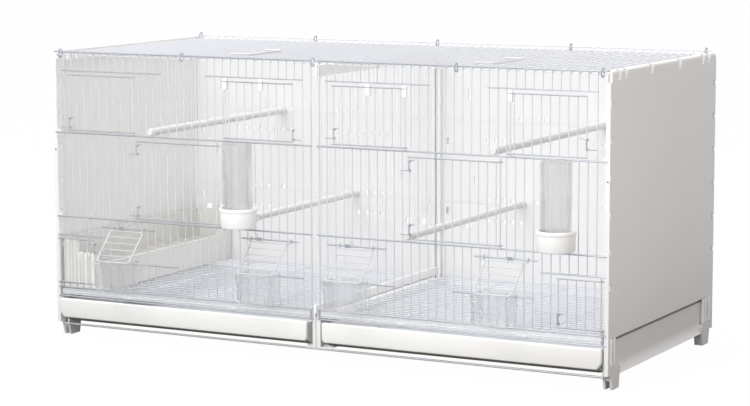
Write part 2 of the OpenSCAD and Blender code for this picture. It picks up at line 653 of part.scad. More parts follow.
// A hook whose ring of 12 flats goes round two rails, open at its lower back
module clip_ring(x, y, z, r) {
    along_x(x - clip_d / 2, x + clip_d / 2) translate([y, z]) difference() {
        circle(r = r + clip_d, $fn = 12);
        circle(r = r, $fn = 12);
        translate([-1.6, -r - 3]) square([3.2, 5]);
    }
}
module roof_clips() {
    fy = (rail_y + roof_front_y) / 2;
    fz = (z_top + roof_rail_z) / 2;
    fr = norm([rail_y - roof_front_y, z_top - roof_rail_z]) / 2 + rail_r + 0.4;
    color("gray") for (x = [-clip_x[1], -clip_x[0], -3.5, clip_x[0], clip_x[1]]) {
        clip_ring(x, fy, fz, fr);
        clip_ring(x, roof_back_y - 1.4, roof_back_z - 1, 4.2);
    }
}
handle_y0 = -half_d + 74;
handle_len = 96;
handle_reach = 28;
handle_left_i = 19;
handle_right_i = 49;
grip_d = 6;
module handle(i) {
    x = (i - roof_n / 2) * 2 * wire_x(last) / roof_n;
    leg_z = roof_z + roof_wire_d / 2 + seat + 1.25;
    color("ivory") {
        for (y = [handle_y0, handle_y0 + handle_len]) {
            translate([x, y + 1.2, roof_z]) rotate([90, 0, 0]) difference() {
                cylinder(h = 2.4, d = roof_wire_d + 2 * seat + 4.4, $fn = 32);
                translate([0, 0, -1]) cylinder(h = 5, d = roof_wire_d + 0.3 + 2 * seat, $fn = 32);
            }
            wire_across(x + 2, x + handle_reach, y, leg_z + 0.1, 2.4);
        }
        wire_deep(x + handle_reach, handle_y0 - 3, handle_y0 + handle_len + 3,
            roof_z + roof_wire_d / 2 + seat + grip_d / 2, grip_d);
    }
}

// ---- Floor grilles and trays ----

module floor_grille(s) {
    // Narrow enough to slide out between the front grille's two end wires
    x0 = center_off + rail_r + seat;
    x1 = inner - seat - rail_d / 2 - rail_r - seat;
    strip_low = z_low + rail_r + seat;
    strip_high = z3 - rail_r - seat;
    fold = strip_low + 0.4 * (strip_high - strip_low);
    y0 = rail_y + 1;
    color("lightsteelblue") side(s) {
        for (x = [x0 + 2, 0.25 * (3 * x0 + x1), 0.5 * (x0 + x1), 0.25 * (x0 + 3 * x1), x1 - 2])
            wire_deep(x, y0 - 0.5, floor_back, floor_bar_z, rail_d);
        n = floor((floor_back - y0) / floor_pitch);
        for (i = [1 : n]) wire_across(x0, x1, y0 + i * (floor_back - y0) / n, floor_wire_z, 2);
        // Folded strip along the front, with two tabs to pull it by
        along_x(x0, x1) polygon([[y0, strip_low], [y0, strip_high], [y0 - 1, strip_high], [y0 - 1,
            fold + 0.5],
            [y0 - 1.7, fold], [y0 - 1, fold - 0.5], [y0 - 1, strip_low]]);
        for (x = [0.3 * x1, 0.72 * x1]) box(x, y0 - 4, strip_low + 1, x + 14, y0 - 0.5, strip_low + 2.6);
    }
}
module tray(s) {
    y1 = floor_back;
    yf = tray_front_y;
    x0 = post_half + 5.8;
    x1 = inner - 1.7;
    top = tray_front_top;
    bottom = top - tray_front_h;
    color("ivory") side(s) {
        difference() {
            box(tray_inner_x, yf - 0.5, tray_z, tray_outer_x, y1, tray_z + tray_body_h);
            box(tray_inner_x + tray_wall, yf + tray_wall, tray_z + tray_wall, tray_outer_x - tray_wall,
                y1 - tray_wall, tray_z + tray_body_h + 1);
        }
        // Front plate with a sloping upper lip
        intersection() {
            along_x(x0, x1) polygon([[yf, bottom], [yf - 3, bottom + 1], [yf - 3, top - 5], [yf, top],
                [yf + 1.6, top], [yf + 0.4, top - 4]]);
            along_y(yf - 4, yf + 2) polygon(round_rect(x0, bottom, x1, top, 4, 3));
        }
    }
}

// ---- Divider ----

divider_y0 = -half_d + 1;
divider_y1 = back_y - 1;
divider_z0 = floor_wire_z + 2.4;
divider_z1 = roof_rail_z - rail_r - seat;
module divider() {
    t = divider_t / 2;
    color("gainsboro") {
        box(-t, divider_y0 + 4, divider_z1 - header_h, t, divider_y1, divider_z1);
        box(-t, divider_y0 - 3, divider_z0, t, divider_y1, divider_z0 + strip_h);
        n = round((divider_y1 - divider_y0 - 10) / wire_pitch);
        for (i = [0 : n]) wire_up(0, divider_y0 + 6 + i * (divider_y1 - divider_y0 - 8) / n,
            divider_z0 + 2, divider_z1 - 2, i == 0 || i == n ? frame_d : wire_d);
        for (z = [z2 + 1, z1 + 2]) wire_deep(wire_d - weld, divider_y0 + 5, divider_y1 - 9, z, wire_d);
    }
}

// ---- Long trough along the left side panel ----

flute_step = 13.27;
module side_trough() {
    x0 = trough_x - trough_w;
    x1 = trough_x;
    w = trough_wall;
    y0 = -trough_front;
    y1 = trough_back;
    zt = trough_z + trough_h;
    zl = trough_z + trough_low;
    zm = trough_z + trough_h * 0.76;
    color("ivory") side(-1) {
        difference() {
            // End view: tall against the panel, low on the open side
            union() {
                box(x0, y0, trough_z, x1, y1, zl);
                box(x1 - w, y0, trough_z, x1, y1, zt);
                box(x0, y1 - w, trough_z, x1, y1, zt);
                box(x0, y0, trough_z, x1, y0 + w, zm);
                box(x1 - 20, y0, trough_z, x1, y0 + w, zt - 5);
            }
            box(x0 + w, y0 + w, trough_z + w, x1 - w, y1 - w, zt + 1);
        }
        // Flutes up the front and along the open side
        for (i = [0 : floor((trough_w - 6) / flute_step)]) box(x0 + 2 + i * flute_step, y0 - 1.6,
            trough_z + 2, x0 + 9 + i * flute_step, y0 + 0.5,
            (i < 3 ? zm : zt - 5) - 2);
        for (y = [y0 + 12 : flute_step * 2 : y1 - 12]) box(x0 - 1.2, y, trough_z + 3, x0 + 0.5, y + 9,
            zl - 6);
        // Rolled rim of the open side
        box(x0 - 2, y0, zl - 3, x0 + 0.5, y1, zl);
        // Cross ribs that keep the seed in
        for (i = [1 : 9]) box(x0 + 1, y0 + i * (y1 - y0) / 10, trough_z + 1, x1 - 1,
            y0 + i * (y1 - y0) / 10 + 1.8, trough_z + 16);
    }
}

// ---- Tie wires between the feet ----

module tie_wire(s) {
    x = foot_inner_x + 3.2 + seat + tie_d / 2 + 0.4;
    y = s * tie_y;
    hook = -s * 18;
    color("silver") {
        wire_across(-x - tie_d / 2, x + tie_d / 2, y, tie_z, tie_d);
        for (m = [-1, 1]) side(m) wire_deep(x, min(y, y + hook), max(y, y + hook), tie_z, tie_d);
    }
}

place() side(-1) side_panel();  // side_panel_left
place() side_panel();  // side_panel_right
place() side(-1) back_panel();  // back_panel_left
place() back_panel();  // back_panel_right
place() back_center_post();
place() center_beam();
place() front_grille(-1);  // front_grille_left
place() front_grille(1);  // front_grille_right
place() roof_grille();
place() roof_clips();
place() handle(handle_left_i);  // handle_left
place() handle(handle_right_i);  // handle_right
place() tie_wire(-1);  // front_tie_wire
place() tie_wire(1);  // back_tie_wire
place() floor_grille(-1);  // floor_grille_left
place() floor_grille(1);  // floor_grille_right
place() tray(-1);  // tray_left
place() tray(1);  // tray_right
place() divider();
place() side_trough();
place() perch(-1, perch_upper_k, z1);  // perch_upper_left
place() perch(1, perch_upper_k, z1);  // perch_upper_right
place() perch(-1, perch_lower_k, z2);  // perch_lower_left
place() perch(1, perch_lower_k, z2);  // perch_lower_right
place() door(door_1);  // upper_door_1
place() door(door_2);  // upper_door_2
place() door(door_3);  // upper_door_3
place() door(door_4);  // upper_door_4
place() door(door_ml);  // middle_door_left
place() door(door_mr);  // middle_door_right
place() door(door_cl);  // corner_door_left
place() door(door_cr);  // corner_door_right
place() latch(door_1, upper_low + 3);  // latch_upper_1
place() latch(door_2, upper_low + 2);  // latch_upper_2
place() latch(door_3, upper_low + 7);  // latch_upper_3
place() latch(door_4, upper_low + 10);  // latch_upper_4
place() latch(door_ml, middle_high - 20);  // latch_middle_left_top
place() latch(door_ml, middle_low + 3);  // latch_middle_left_low
place() latch(door_mr, middle_high - 20);  // latch_middle_right_top
place() latch(door_mr, middle_low + 5);  // latch_middle_right_low
place() latch(door_cl, corner_high - 20);  // latch_corner_left
place() latch(door_cr, corner_low + 3);  // latch_corner_right
place() feeder_flap(feeder_1);  // feeder_flap_1
place() feeder_flap(feeder_2);  // feeder_flap_2
place() feeder_flap(feeder_3);  // feeder_flap_3
place() feeder_flap(feeder_4);  // feeder_flap_4
place() flap_spring(feeder_1);  // flap_spring_1
place() flap_spring(feeder_2);  // flap_spring_2
place() flap_spring(feeder_3);  // flap_spring_3
place() flap_spring(feeder_4);  // flap_spring_4
place() feeder_cup(feeder_1);  // feeder_cup_1
place() feeder_cup(feeder_2);  // feeder_cup_2
place() feeder_cup(feeder_3);  // feeder_cup_3
place() feeder_cup(feeder_4);  // feeder_cup_4
place() silo_tube(silo_left);  // silo_tube_left
place() silo_tube(silo_right);  // silo_tube_right
place() silo_cup(silo_left);  // silo_cup_left
place() silo_cup(silo_right);  // silo_cup_right
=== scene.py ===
import bpy
import bmesh
import math
from mathutils import Matrix, Vector


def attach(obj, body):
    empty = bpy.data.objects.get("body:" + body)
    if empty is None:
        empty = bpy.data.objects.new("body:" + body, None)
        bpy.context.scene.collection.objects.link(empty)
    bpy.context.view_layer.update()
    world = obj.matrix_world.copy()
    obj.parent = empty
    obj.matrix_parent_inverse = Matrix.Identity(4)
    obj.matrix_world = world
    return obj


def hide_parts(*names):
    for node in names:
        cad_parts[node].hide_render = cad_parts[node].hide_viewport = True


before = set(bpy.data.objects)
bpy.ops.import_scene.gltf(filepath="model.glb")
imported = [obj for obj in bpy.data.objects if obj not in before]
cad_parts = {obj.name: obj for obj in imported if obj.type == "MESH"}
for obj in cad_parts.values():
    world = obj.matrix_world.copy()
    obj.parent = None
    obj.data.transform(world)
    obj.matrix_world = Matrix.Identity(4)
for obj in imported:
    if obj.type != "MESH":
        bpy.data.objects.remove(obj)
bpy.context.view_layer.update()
print("frame loaded:", len(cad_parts), "nodes")

# Sizes are millimetres in the cage's own frame: x to the right, y to the back, z up, y = 0 midway
# between the front and back edges of the side panels. toFrame turns them into metres.
cage = {
    "shiftBack": 27.0,  # the model's origin lies this far in front of y = 0
    "halfWidth": 450.0, "halfDepth": 203.0, "rimInside": 444.0,
    "firstWire": 6.6, "wirePitch": 13.26875, "lastWire": 32,
    "frontPlane": -201.0, "railPlane": -203.1,
    "doorPlane": -206.3, "doorRailPlane": -208.1, "hingePlane": -205.8,
    "hangRail": 62.5, "lowRail": 76.0, "secondRail": 184.0, "thirdRail": 311.0, "topRail": 432.0,
    "doorRail": 404.0, "cornerRail": 156.0, "feederRail": 171.5, "sillRail": 119.5,
}
sides = {"left": -1, "right": 1}


def wireX(number):
    return cage["firstWire"] + number * cage["wirePitch"]


# materials: scale and detail of each noise, strength and distance of each bump
texture = {
    "cloudDetail": 4.0, "grainDetail": 2.0, "grainDistance": 0.0002, "mouldedIor": 1.49,
    "satinFrom": (0.3, 0.7), "satinDuller": 0.07, "satinGlossier": 0.06,
    "wireCloud": (70.0, 3.0), "wireDraw": (900.0, 1.0), "wireBump": (0.15, 0.0001),
    "crystals": 160.0, "waves": (55.0, 1.0), "waveBump": (0.08, 0.0005), "clearIor": 1.49,
}


def toLinear(hexColour):
    channels = [int(hexColour[i : i + 2], 16) / 255 for i in (1, 3, 5)]
    return [c / 12.92 if c <= 0.04045 else ((c + 0.055) / 1.055) ** 2.4 for c in channels] + [1.0]


def addNode(tree, kind, values=None, links=None, **settings):
    node = tree.nodes.new(kind)
    for key, value in settings.items():
        setattr(node, key, value)
    for key, value in (values or {}).items():
        node.inputs[key].default_value = value
    for key, source in (links or {}).items():
        tree.links.new(source, node.inputs[key])
    return node


def startMaterial(name):
    material = bpy.data.materials.new(name)
    material.use_nodes = True
    material.node_tree.nodes.clear()
    place = addNode(material.node_tree, "ShaderNodeTexCoord").outputs["Object"]
    return material, material.node_tree, place


def addNoise(tree, place, scale, detail):
    values = {"Scale": scale, "Detail": detail}
    return addNode(tree, "ShaderNodeTexNoise", values, {"Vector": place}).outputs["Fac"]


def addTone(tree, light, dark, share):
    tones = {"Color1": toLinear(light), "Color2": toLinear(dark)}
    return addNode(tree, "ShaderNodeMixRGB", tones, {"Fac": share}).outputs["Color"]


def addBump(tree, height, strength, distance):
    depth = {"Strength": strength, "Distance": distance}
    return addNode(tree, "ShaderNodeBump", depth, {"Height": height}).outputs["Normal"]


def addSkin(tree, values, links):
    skin = addNode(tree, "ShaderNodeBsdfPrincipled", values, links)
    addNode(tree, "ShaderNodeOutputMaterial", {}, {"Surface": skin.outputs["BSDF"]})


def mouldedPlastic(name, light, dark, roughness, cloudScale, grainScale, grainDepth):
    # a moulded skin: slow clouds of tone, spark-eroded grain, satin with duller patches
    material, tree, place = startMaterial(name)
    cloud = addNoise(tree, place, cloudScale, texture["cloudDetail"])
    grain = addNoise(tree, place, grainScale, texture["grainDetail"])
    low, high = texture["satinFrom"]
    glossy, dull = roughness - texture["satinGlossier"], roughness + texture["satinDuller"]
    ends = {"From Min": low, "From Max": high, "To Min": glossy, "To Max": dull}
    satin = addNode(tree, "ShaderNodeMapRange", ends, {"Value": cloud})
    links = {
        "Base Color": addTone(tree, light, dark, cloud),
        "Roughness": satin.outputs["Result"],
        "Normal": addBump(tree, grain, grainDepth, texture["grainDistance"]),
    }
    addSkin(tree, {"IOR": texture["mouldedIor"]}, links)
    return material


def platedWire(name, light, dark, metallic, roughness):
    # drawn steel wire with a zinc plating: pale and bluish, fine draw lines, cloudy passivation
    material, tree, place = startMaterial(name)
    cloud = addNoise(tree, place, *texture["wireCloud"])
    draw = addNoise(tree, place, *texture["wireDraw"])
    links = {
        "Base Color": addTone(tree, light, dark, cloud),
        "Normal": addBump(tree, draw, *texture["wireBump"]),
    }
    addSkin(tree, {"Metallic": metallic, "Roughness": roughness}, links)
    return material


def rolledSheet(name, light, dark, metallic, roughness):
    # rolled sheet with a zinc coat: small crystals of slightly different grey, soft reflections
    material, tree, place = startMaterial(name)
    crystals = addNode(tree, "ShaderNodeTexVoronoi", {"Scale": texture["crystals"]}, {"Vector": place})
    links = {"Base Color": addTone(tree, light, dark, crystals.outputs["Distance"])}
    addSkin(tree, {"Metallic": metallic, "Roughness": roughness}, links)
    return material


def clearPlastic(name, colour, roughness, alpha):
    # injection-moulded clear polystyrene: glossy, with faint flow waves
    material, tree, place = startMaterial(name)
    waves = addNoise(tree, place, *texture["waves"])
    values = {
        "Base Color": toLinear(colour),
        "Roughness": roughness,
        "IOR": texture["clearIor"],
        "Transmission Weight": 1.0,
        "Alpha": alpha,
    }
    addSkin(tree, values, {"Normal": addBump(tree, waves, *texture["waveBump"])})
    return material


# how each finish is made, its name, light and dark tone; then for a plastic its roughness, scale of the
# clouds, scale and depth of the grain, and for a metal its share of metal and roughness
looks = {
    "white": (mouldedPlastic, "whiteMouldedPolypropylene", "#F3F2F1", "#ECEBE9", 0.45, 9.0, 1400.0, 0.12),
    "ivory": (mouldedPlastic, "ivoryMouldedPolypropylene", "#F4F4F2", "#EDECE9", 0.42, 11.0, 1200.0, 0.1),
    "trough": (mouldedPlastic, "warmIvoryPolypropylene", "#EEEDEA", "#E6E4E0", 0.48, 22.0, 1000.0, 0.15),
    "cream": (mouldedPlastic, "creamRibbedPolypropylene", "#E4E4E1", "#D6D5D1", 0.5, 70.0, 700.0, 0.35),
    "perch": (mouldedPlastic, "greyIvoryPolypropylene", "#E4E4E1", "#DADAD7", 0.55, 40.0, 700.0, 0.3),
    "wire": (platedWire, "zincPlatedWire", "#D9DADC", "#CDCED1", 0.25, 0.35),
    "rail": (platedWire, "brightZincRail", "#CFD1D7", "#BFC2CA", 0.75, 0.3),
    # the same zinc-plated wire as the front grille, drawn paler: painted light from above on the roof
    "roof": (platedWire, "paintedLightRoofWire", "#EDEEF3", "#E4E6EC", 0.2, 0.45),
    "floor": (platedWire, "dullZincWire", "#E0E2E7", "#D8DAE0", 0.0, 0.8),
    "spring": (platedWire, "springSteelWire", "#C6C9D1", "#AEB2BD", 0.7, 0.35),
    "pin": (platedWire, "darkSteelPin", "#77797F", "#5E6066", 0.8, 0.4),
    "sheet": (rolledSheet, "galvanisedSheet", "#F0F1F3", "#E4E6EA", 0.5, 0.42),
    # near white: painted light on the divider's wires, which stand in the cage's shade
    "divider": (platedWire, "paintedLightDividerWire", "#F0F0F3", "#E8E9EC", 0.1, 0.5),
    # the side panels' white plastic drawn a shade greyer: painted shade on the back panels inside the cage
    "back": (mouldedPlastic, "paintedShadeBackPlastic", "#F0F0F0", "#EBEBEA", 0.5, 9.0, 1400.0, 0.12),
    # the ivory tray's inner bottom drawn grey-blue: painted shade from the wire floor over it
    "trayFloor": (mouldedPlastic, "paintedShadeTrayBottom", "#D4D6DB", "#CBCED4", 0.8, 12.0, 900.0, 0.3),
    # dark brown-grey on the tray's low front and bottom: painted shade under the tray
    "under": (mouldedPlastic, "paintedShadeTrayUnderside", "#B3ABA1", "#A69E94", 0.7, 12.0, 900.0, 0.2),
    "bright": (mouldedPlastic, "glossyWhitePolystyrene", "#FBFBFA", "#F6F6F4", 0.3, 14.0, 1600.0, 0.05),
    # dark grey for the strip in the gap under each side panel: painted shadow
    "seal": (mouldedPlastic, "paintedShadowStripPlastic", "#96918C", "#88837E", 0.6, 20.0, 900.0, 0.1),
    "clear": (clearPlastic, "clearPolystyrene", "#F0F1F3", 0.03, 0.3),  # colour, roughness, alpha
    "tube": (clearPlastic, "clearPolystyreneTube", "#D3D4D6", 0.04, 0.3),
}
finishes = {key: make(*look) for key, (make, *look) in looks.items()}
print("materials made")


# helpers for pieces and shapes


def titleOf(node):
    return "".join(word.title() for word in node.split("_"))


def camelOf(node):
    return node[0] + titleOf(node)[1:]


def addObject(name, data):
    shown = bpy.data.objects.new(name, data)
    bpy.context.scene.collection.objects.link(shown)
    return shown


def meshFrom(bm, name):
    mesh = bpy.data.meshes.new(name)
    bm.to_mesh(mesh)
    bm.free()
    return mesh


def toFrame(bm):
    bmesh.ops.recalc_face_normals(bm, faces=bm.faces[:])
    bmesh.ops.translate(bm, vec=(0, cage["shiftBack"], 0), verts=bm.verts[:])
    bmesh.ops.scale(bm, vec=(0.001, 0.001, 0.001), verts=bm.verts[:])


def finishPiece(bm, *values):
    toFrame(bm)
    placePiece(bm, *values)


def finishNode(bm, node, finish, slot="zinc_wire", smooth=40, bevel=0.0, body=None):
    # a piece that stands for a CAD node and is named after it; it rides on its own body or another
    finishPiece(bm, camelOf(node), finish, body or node, [node], slot, smooth, bevel)


def placePiece(bm, name, finish, body, nodes=(), slot="zinc_wire", smooth=40, bevel=0.0):
    mesh = meshFrom(bm, name)
    mesh.polygons.foreach_set("use_smooth", [True] * len(mesh.polygons))
    mesh.set_sharp_from_angle(angle=math.radians(smooth))
    piece = addObject(name, mesh)
    for look in finish.split():
        mesh.materials.append(finishes[look])
    if bevel:
        edge = piece.modifiers.new("softEdges", "BEVEL")
        edge.width = bevel / 1000
        edge.segments = 2
        edge.limit_method = "ANGLE"
        edge.angle_limit = math.radians(35)
        edge.harden_normals = True
    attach(piece, body)
    if nodes:
        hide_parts(*nodes)
    return piece


def refineNode(node, finish, slot, bevel, smooth=35):
    # the CAD shape is right here: a merged copy of it gets soft edges
    bm = bmesh.new()
    bm.from_mesh(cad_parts[node].data)
    bmesh.ops.remove_doubles(bm, verts=bm.verts[:], dist=1e-6)
    bmesh.ops.dissolve_limit(bm, angle_limit=math.radians(0.5), verts=bm.verts[:], edges=bm.edges[:])
    return placePiece(bm, camelOf(node), finish, "cage_body", [node], slot, smooth, bevel)


def addWire(bm, start, end, diameter, sides=10):
    start, end = Vector(start), Vector(end)
    along, radius = end - start, diameter / 2
    place = Matrix.Translation((start + end) / 2) @ along.to_track_quat("Z", "Y").to_matrix().to_4x4()
    bmesh.ops.create_cone(
        bm, cap_ends=True, segments=sides, radius1=radius, radius2=radius, depth=along.length, matrix=place
    )


def addBar(bm, first, last, y, z, diameter, sides=10):
    addWire(bm, (first, y, z), (last, y, z), diameter, sides)


def addUpright(bm, x, y, low, high, diameter, sides=10):
    addWire(bm, (x, y, low), (x, y, high), diameter, sides)


def ringOf(radius, angles):
    # each point's angle in degrees and how far it lies from the centre both ways
    return [(a, radius * math.cos(math.radians(a)), radius * math.sin(math.radians(a))) for a in angles]


def roundCorners(points, radius, steps=4):
    points = [Vector(p) for p in points]
    path = [points[0]]
    for before, corner, after in zip(points, points[1:], points[2:]):
        back, ahead = before - corner, after - corner
        reach = min(radius / math.tan(back.angle(ahead) / 2), back.length * 0.48, ahead.length * 0.48)
        first, last = corner + back.normalized() * reach, corner + ahead.normalized() * reach
        for i in range(steps + 1):
            t = i / steps
            path.append((1 - t) ** 2 * first + 2 * t * (1 - t) * corner + t * t * last)
    path.append(points[-1])
    return path


def vertsIn(geom):
    return [g for g in geom if isinstance(g, bmesh.types.BMVert)]


def bendWire(bm, path, diameter, sides=8):
    # one capped circle, extruded from point to point and turned with the wire
    path = [Vector(p) for p in path]
    steps = [(b - a).normalized() for a, b in zip(path, path[1:])]
    ways = [steps[0]] + [(a + b).normalized() for a, b in zip(steps, steps[1:])] + [steps[-1]]
    turn = ways[0].to_track_quat("Z", "Y")
    frameNow = Matrix.Translation(path[0]) @ turn.to_matrix().to_4x4()
    made = bmesh.ops.create_circle(bm, cap_ends=True, segments=sides, radius=diameter / 2, matrix=frameNow)
    face = made["verts"][0].link_faces[0]
    for before, way, point in zip(ways, ways[1:], path[1:]):
        turn = before.rotation_difference(way) @ turn
        frameNext = Matrix.Translation(point) @ turn.to_matrix().to_4x4()
        grown = bmesh.ops.extrude_face_region(bm, geom=[face])["geom"]
        face = [g for g in grown if isinstance(g, bmesh.types.BMFace)][0]
        bmesh.ops.transform(bm, matrix=frameNext @ frameNow.inverted(), verts=vertsIn(grown))
        frameNow = frameNext


def coatNew(bm, older, index):
    # the faces made since the list of older ones get the piece's next finish
    for face in bm.faces:
        if face not in older:
            face.material_index = index


def addBlock(bm, low, high):
    low, high = Vector(low), Vector(high)
    size = high - low
    place = Matrix.Translation((low + high) / 2) @ Matrix.Diagonal((*size, 1))
    return bmesh.ops.create_cube(bm, size=1, matrix=place)["verts"]


def softenEdges(bm, edges, offset, segments):
    bmesh.ops.bevel(
        bm, geom=edges, offset=offset, segments=segments, profile=0.5, affect="EDGES", material=-1
    )


def uprightEdges(bm):
    return [e for e in bm.edges if abs(e.verts[0].co.z - e.verts[1].co.z) > 1]


def topOf(faces):
    return max(faces, key=lambda f: f.calc_center_median().z)


def cutAcross(bm, point, way):
    geom = bm.verts[:] + bm.edges[:] + bm.faces[:]
    bmesh.ops.bisect_plane(bm, geom=geom, plane_co=point, plane_no=way)


def spinProfile(bm, profile, centre, steps=56):
    # a turned shape: the profile's points are (radius, height)
    verts = [bm.verts.new((r, 0, z)) for r, z in profile]
    edges = [bm.edges.new(pair) for pair in zip(verts, verts[1:])]
    bmesh.ops.spin(
        bm, geom=verts + edges, cent=(0, 0, 0), axis=(0, 0, 1), angle=math.tau, steps=steps, use_merge=True
    )
    touched = [v for v in bm.verts if v.link_faces]
    bmesh.ops.remove_doubles(bm, verts=touched, dist=0.0005)
    bmesh.ops.translate(bm, vec=centre, verts=bm.verts[:])


# front grilles; a door is given by its latch wire and hinge wire, and by the heights of its latches

doorKinds = {  # how high the frame reaches, and the rails under and over it
    "upper": {"low": 315.8, "high": 398.0, "rails": ("thirdRail", "doorRail")},
    "middle": {"low": 189.0, "high": 303.5, "rails": ("secondRail", "thirdRail")},
    "corner": {"low": 84.0, "high": 150.5, "rails": ("lowRail", "cornerRail")},
}
doors = {
    "upper_door_1": {"side": -1, "latch": 31, "hinge": 23, "latches": {"latch_upper_1": 318.8}},
    "upper_door_2": {"side": -1, "latch": 2, "hinge": 10, "latches": {"latch_upper_2": 317.8}},
    "upper_door_3": {"side": 1, "latch": 2, "hinge": 10, "latches": {"latch_upper_3": 322.8}},
    "upper_door_4": {"side": 1, "latch": 31, "hinge": 23, "latches": {"latch_upper_4": 325.8}},
    "middle_door_left": {"side": -1, "latch": 22, "hinge": 12,
                         "latches": {"latch_middle_left_top": 283.5, "latch_middle_left_low": 192.0}},
    "middle_door_right": {"side": 1, "latch": 11, "hinge": 21,
                          "latches": {"latch_middle_right_top": 283.5, "latch_middle_right_low": 194.0}},
    "corner_door_left": {"side": -1, "latch": 28, "hinge": 32, "latches": {"latch_corner_left": 130.5}},
    "corner_door_right": {"side": 1, "latch": 28, "hinge": 32, "latches": {"latch_corner_right": 87.0}},
}
for doorName, doorValues in doors.items():
    doorValues.update(doorKinds[doorName.split("_")[0]])
feeders = {
    1: {"side": -1, "middle": 23.5, "sill": (17, 28), "coil": 24.5},
    2: {"side": -1, "middle": 5.1, "sill": (1, 9), "coil": 6.5},
    3: {"side": 1, "middle": 4.6, "sill": (1, 9), "coil": 3.5},
    4: {"side": 1, "middle": 22.0, "sill": (16, 25), "coil": 22.5},
}
grille = {
    "wire": 1.6, "rail": 2.5, "doorFrame": 1.9, "hinge": 2.2, "latch": 1.25,
    "railInside": 4.0, "railOutside": 446.5,  # the rails end beside the divider and in the side panel
    "railReturn": 4.0, "railBend": 2.5, "sidePost": 442.1, "cornerEnd": 445.5,
    "tip": 1.5, "pastRail": 1.2,  # uprights pass the top rail and the rails round a window by these
    "shortest": 3.0,
    "doorSpans": {-1: [(1, 13), (19, 32)], 1: [(1, 13), (20, 32)]}, "spanPast": 2.0,
    "cornerRail": {-1: 27, 1: 26},
    "feederReach": 3.5, "feederWindow": 2,  # in wires, to each side of the feeder's middle
    "hingeBeside": 6.0, "cornerHinge": 440.5,
}


def hingeX(door):
    if door["hinge"] == cage["lastWire"]:
        return grille["cornerHinge"]
    beside = grille["hingeBeside"]
    return wireX(door["hinge"]) + (beside if door["hinge"] > door["latch"] else -beside)


def windowsOf(side):
    # stretches where an upright wire is left out: first and last wire, low and high rail
    windows = []
    for door in doors.values():
        if door["side"] == side:
            low, high = (cage[rail] for rail in door["rails"])
            first, last = sorted((door["latch"], door["hinge"]))
            windows.append((first, last, low, high))
    for feeder in feeders.values():
        if feeder["side"] == side:
            wires = range(cage["lastWire"] + 1)
            cut = [k for k in wires if abs(k - feeder["middle"]) < grille["feederWindow"]]
            windows.append((cut[0], cut[-1], cage["sillRail"], cage["feederRail"]))
    return windows


def buildGrille(hand):
    bm, side = bmesh.new(), sides[hand]
    front, rail, past = cage["frontPlane"], cage["railPlane"], grille["pastRail"]
    windows = windowsOf(side)
    for k in range(cage["lastWire"] + 1):
        width = grille["rail"] if k == 0 else grille["wire"]
        starts = cage["lowRail"] - 1
        gaps = sorted((w[2], w[3]) for w in windows if w[0] <= k <= w[1])
        for low, high in gaps + [(cage["topRail"] + grille["tip"], None)]:
            if low - starts > grille["shortest"]:
                addUpright(bm, side * wireX(k), front, starts, low + (past if high else 0), width)
            starts = (high or 0) - past
    for door in doors.values():
        if door["side"] == side:
            low, high = (cage[rail] for rail in door["rails"])
            addUpright(bm, side * hingeX(door), cage["hingePlane"], low, high, grille["hinge"], 14)
    uprights = set(bm.faces)
    inside, outside = side * grille["railInside"], side * grille["railOutside"]
    for z in (cage[n] for n in ("topRail", "thirdRail", "secondRail", "lowRail", "hangRail")):
        ends = [(inside, rail, z), (outside, rail, z), (outside, rail + grille["railReturn"], z)]
        bendWire(bm, roundCorners(ends, grille["railBend"]), grille["rail"], 10)
    for x in (wireX(0), grille["sidePost"]):
        addUpright(bm, side * x, rail, cage["hangRail"], cage["lowRail"], grille["rail"])
    past = grille["spanPast"]
    for first, last in grille["doorSpans"][side]:
        ends = side * (wireX(first) - past), side * (wireX(last) + past)
        addBar(bm, *ends, rail, cage["doorRail"], grille["doorFrame"])
    corner = side * (wireX(grille["cornerRail"][side]) - past)
    addBar(bm, corner, side * grille["cornerEnd"], rail, cage["cornerRail"], grille["rail"])
    for feeder in feeders.values():
        if feeder["side"] == side:
            middle, reach = feeder["middle"], grille["feederReach"]
            spans = {"feederRail": (middle - reach, middle + reach), "sillRail": feeder["sill"]}
            for level, (first, last) in spans.items():
                ends = side * (wireX(first) - 1), side * (wireX(last) + 1)
                addBar(bm, *ends, rail, cage[level], grille["rail"], 12)
    coatNew(bm, uprights, 1)
    finishNode(bm, "front_grille_" + hand, "wire rail", body="cage_body")


for handName in sides:
    buildGrille(handName)
print("front grilles made")


# doors and their latches

eye = {"radius": 3.0, "turn": range(-70, 211, 28), "before": 2.6, "pastLatch": 1.6, "wireTips": 0.8}
latch = {"height": 15.0, "reach": 13.27, "finger": 9.27, "ahead": 2.4, "tip": 3.0, "bend": 1.6,
         "ring": 2.35, "ringTurn": range(-90, 451, 30), "ringRise": 1.9}


def buildDoor(name, door):
    bm = bmesh.new()
    side, plane, tips = door["side"], cage["doorRailPlane"], eye["wireTips"]
    pivot, shut = hingeX(door), wireX(door["latch"])
    way = 1 if pivot > shut else -1
    first, last = sorted((door["latch"], door["hinge"]))
    for k in range(first, last + 1):
        low, high = door["low"] - tips, door["high"] + tips
        addUpright(bm, side * wireX(k), cage["doorPlane"], low, high, grille["wire"])
    uprights = set(bm.faces)
    for z in (door["low"], door["high"]):
        # the frame wire closes round the hinge wire in an open eye
        path = [(shut - way * eye["pastLatch"], plane), (pivot - way * eye["before"], plane)]
        path += [(pivot + way * c, cage["hingePlane"] + s) for a, c, s in ringOf(eye["radius"], eye["turn"])]
        bendWire(bm, [(side * x, y, z) for x, y in path], grille["doorFrame"])
    coatNew(bm, uprights, 1)
    finishPiece(bm, titleOf(name), "wire rail", name, [name])


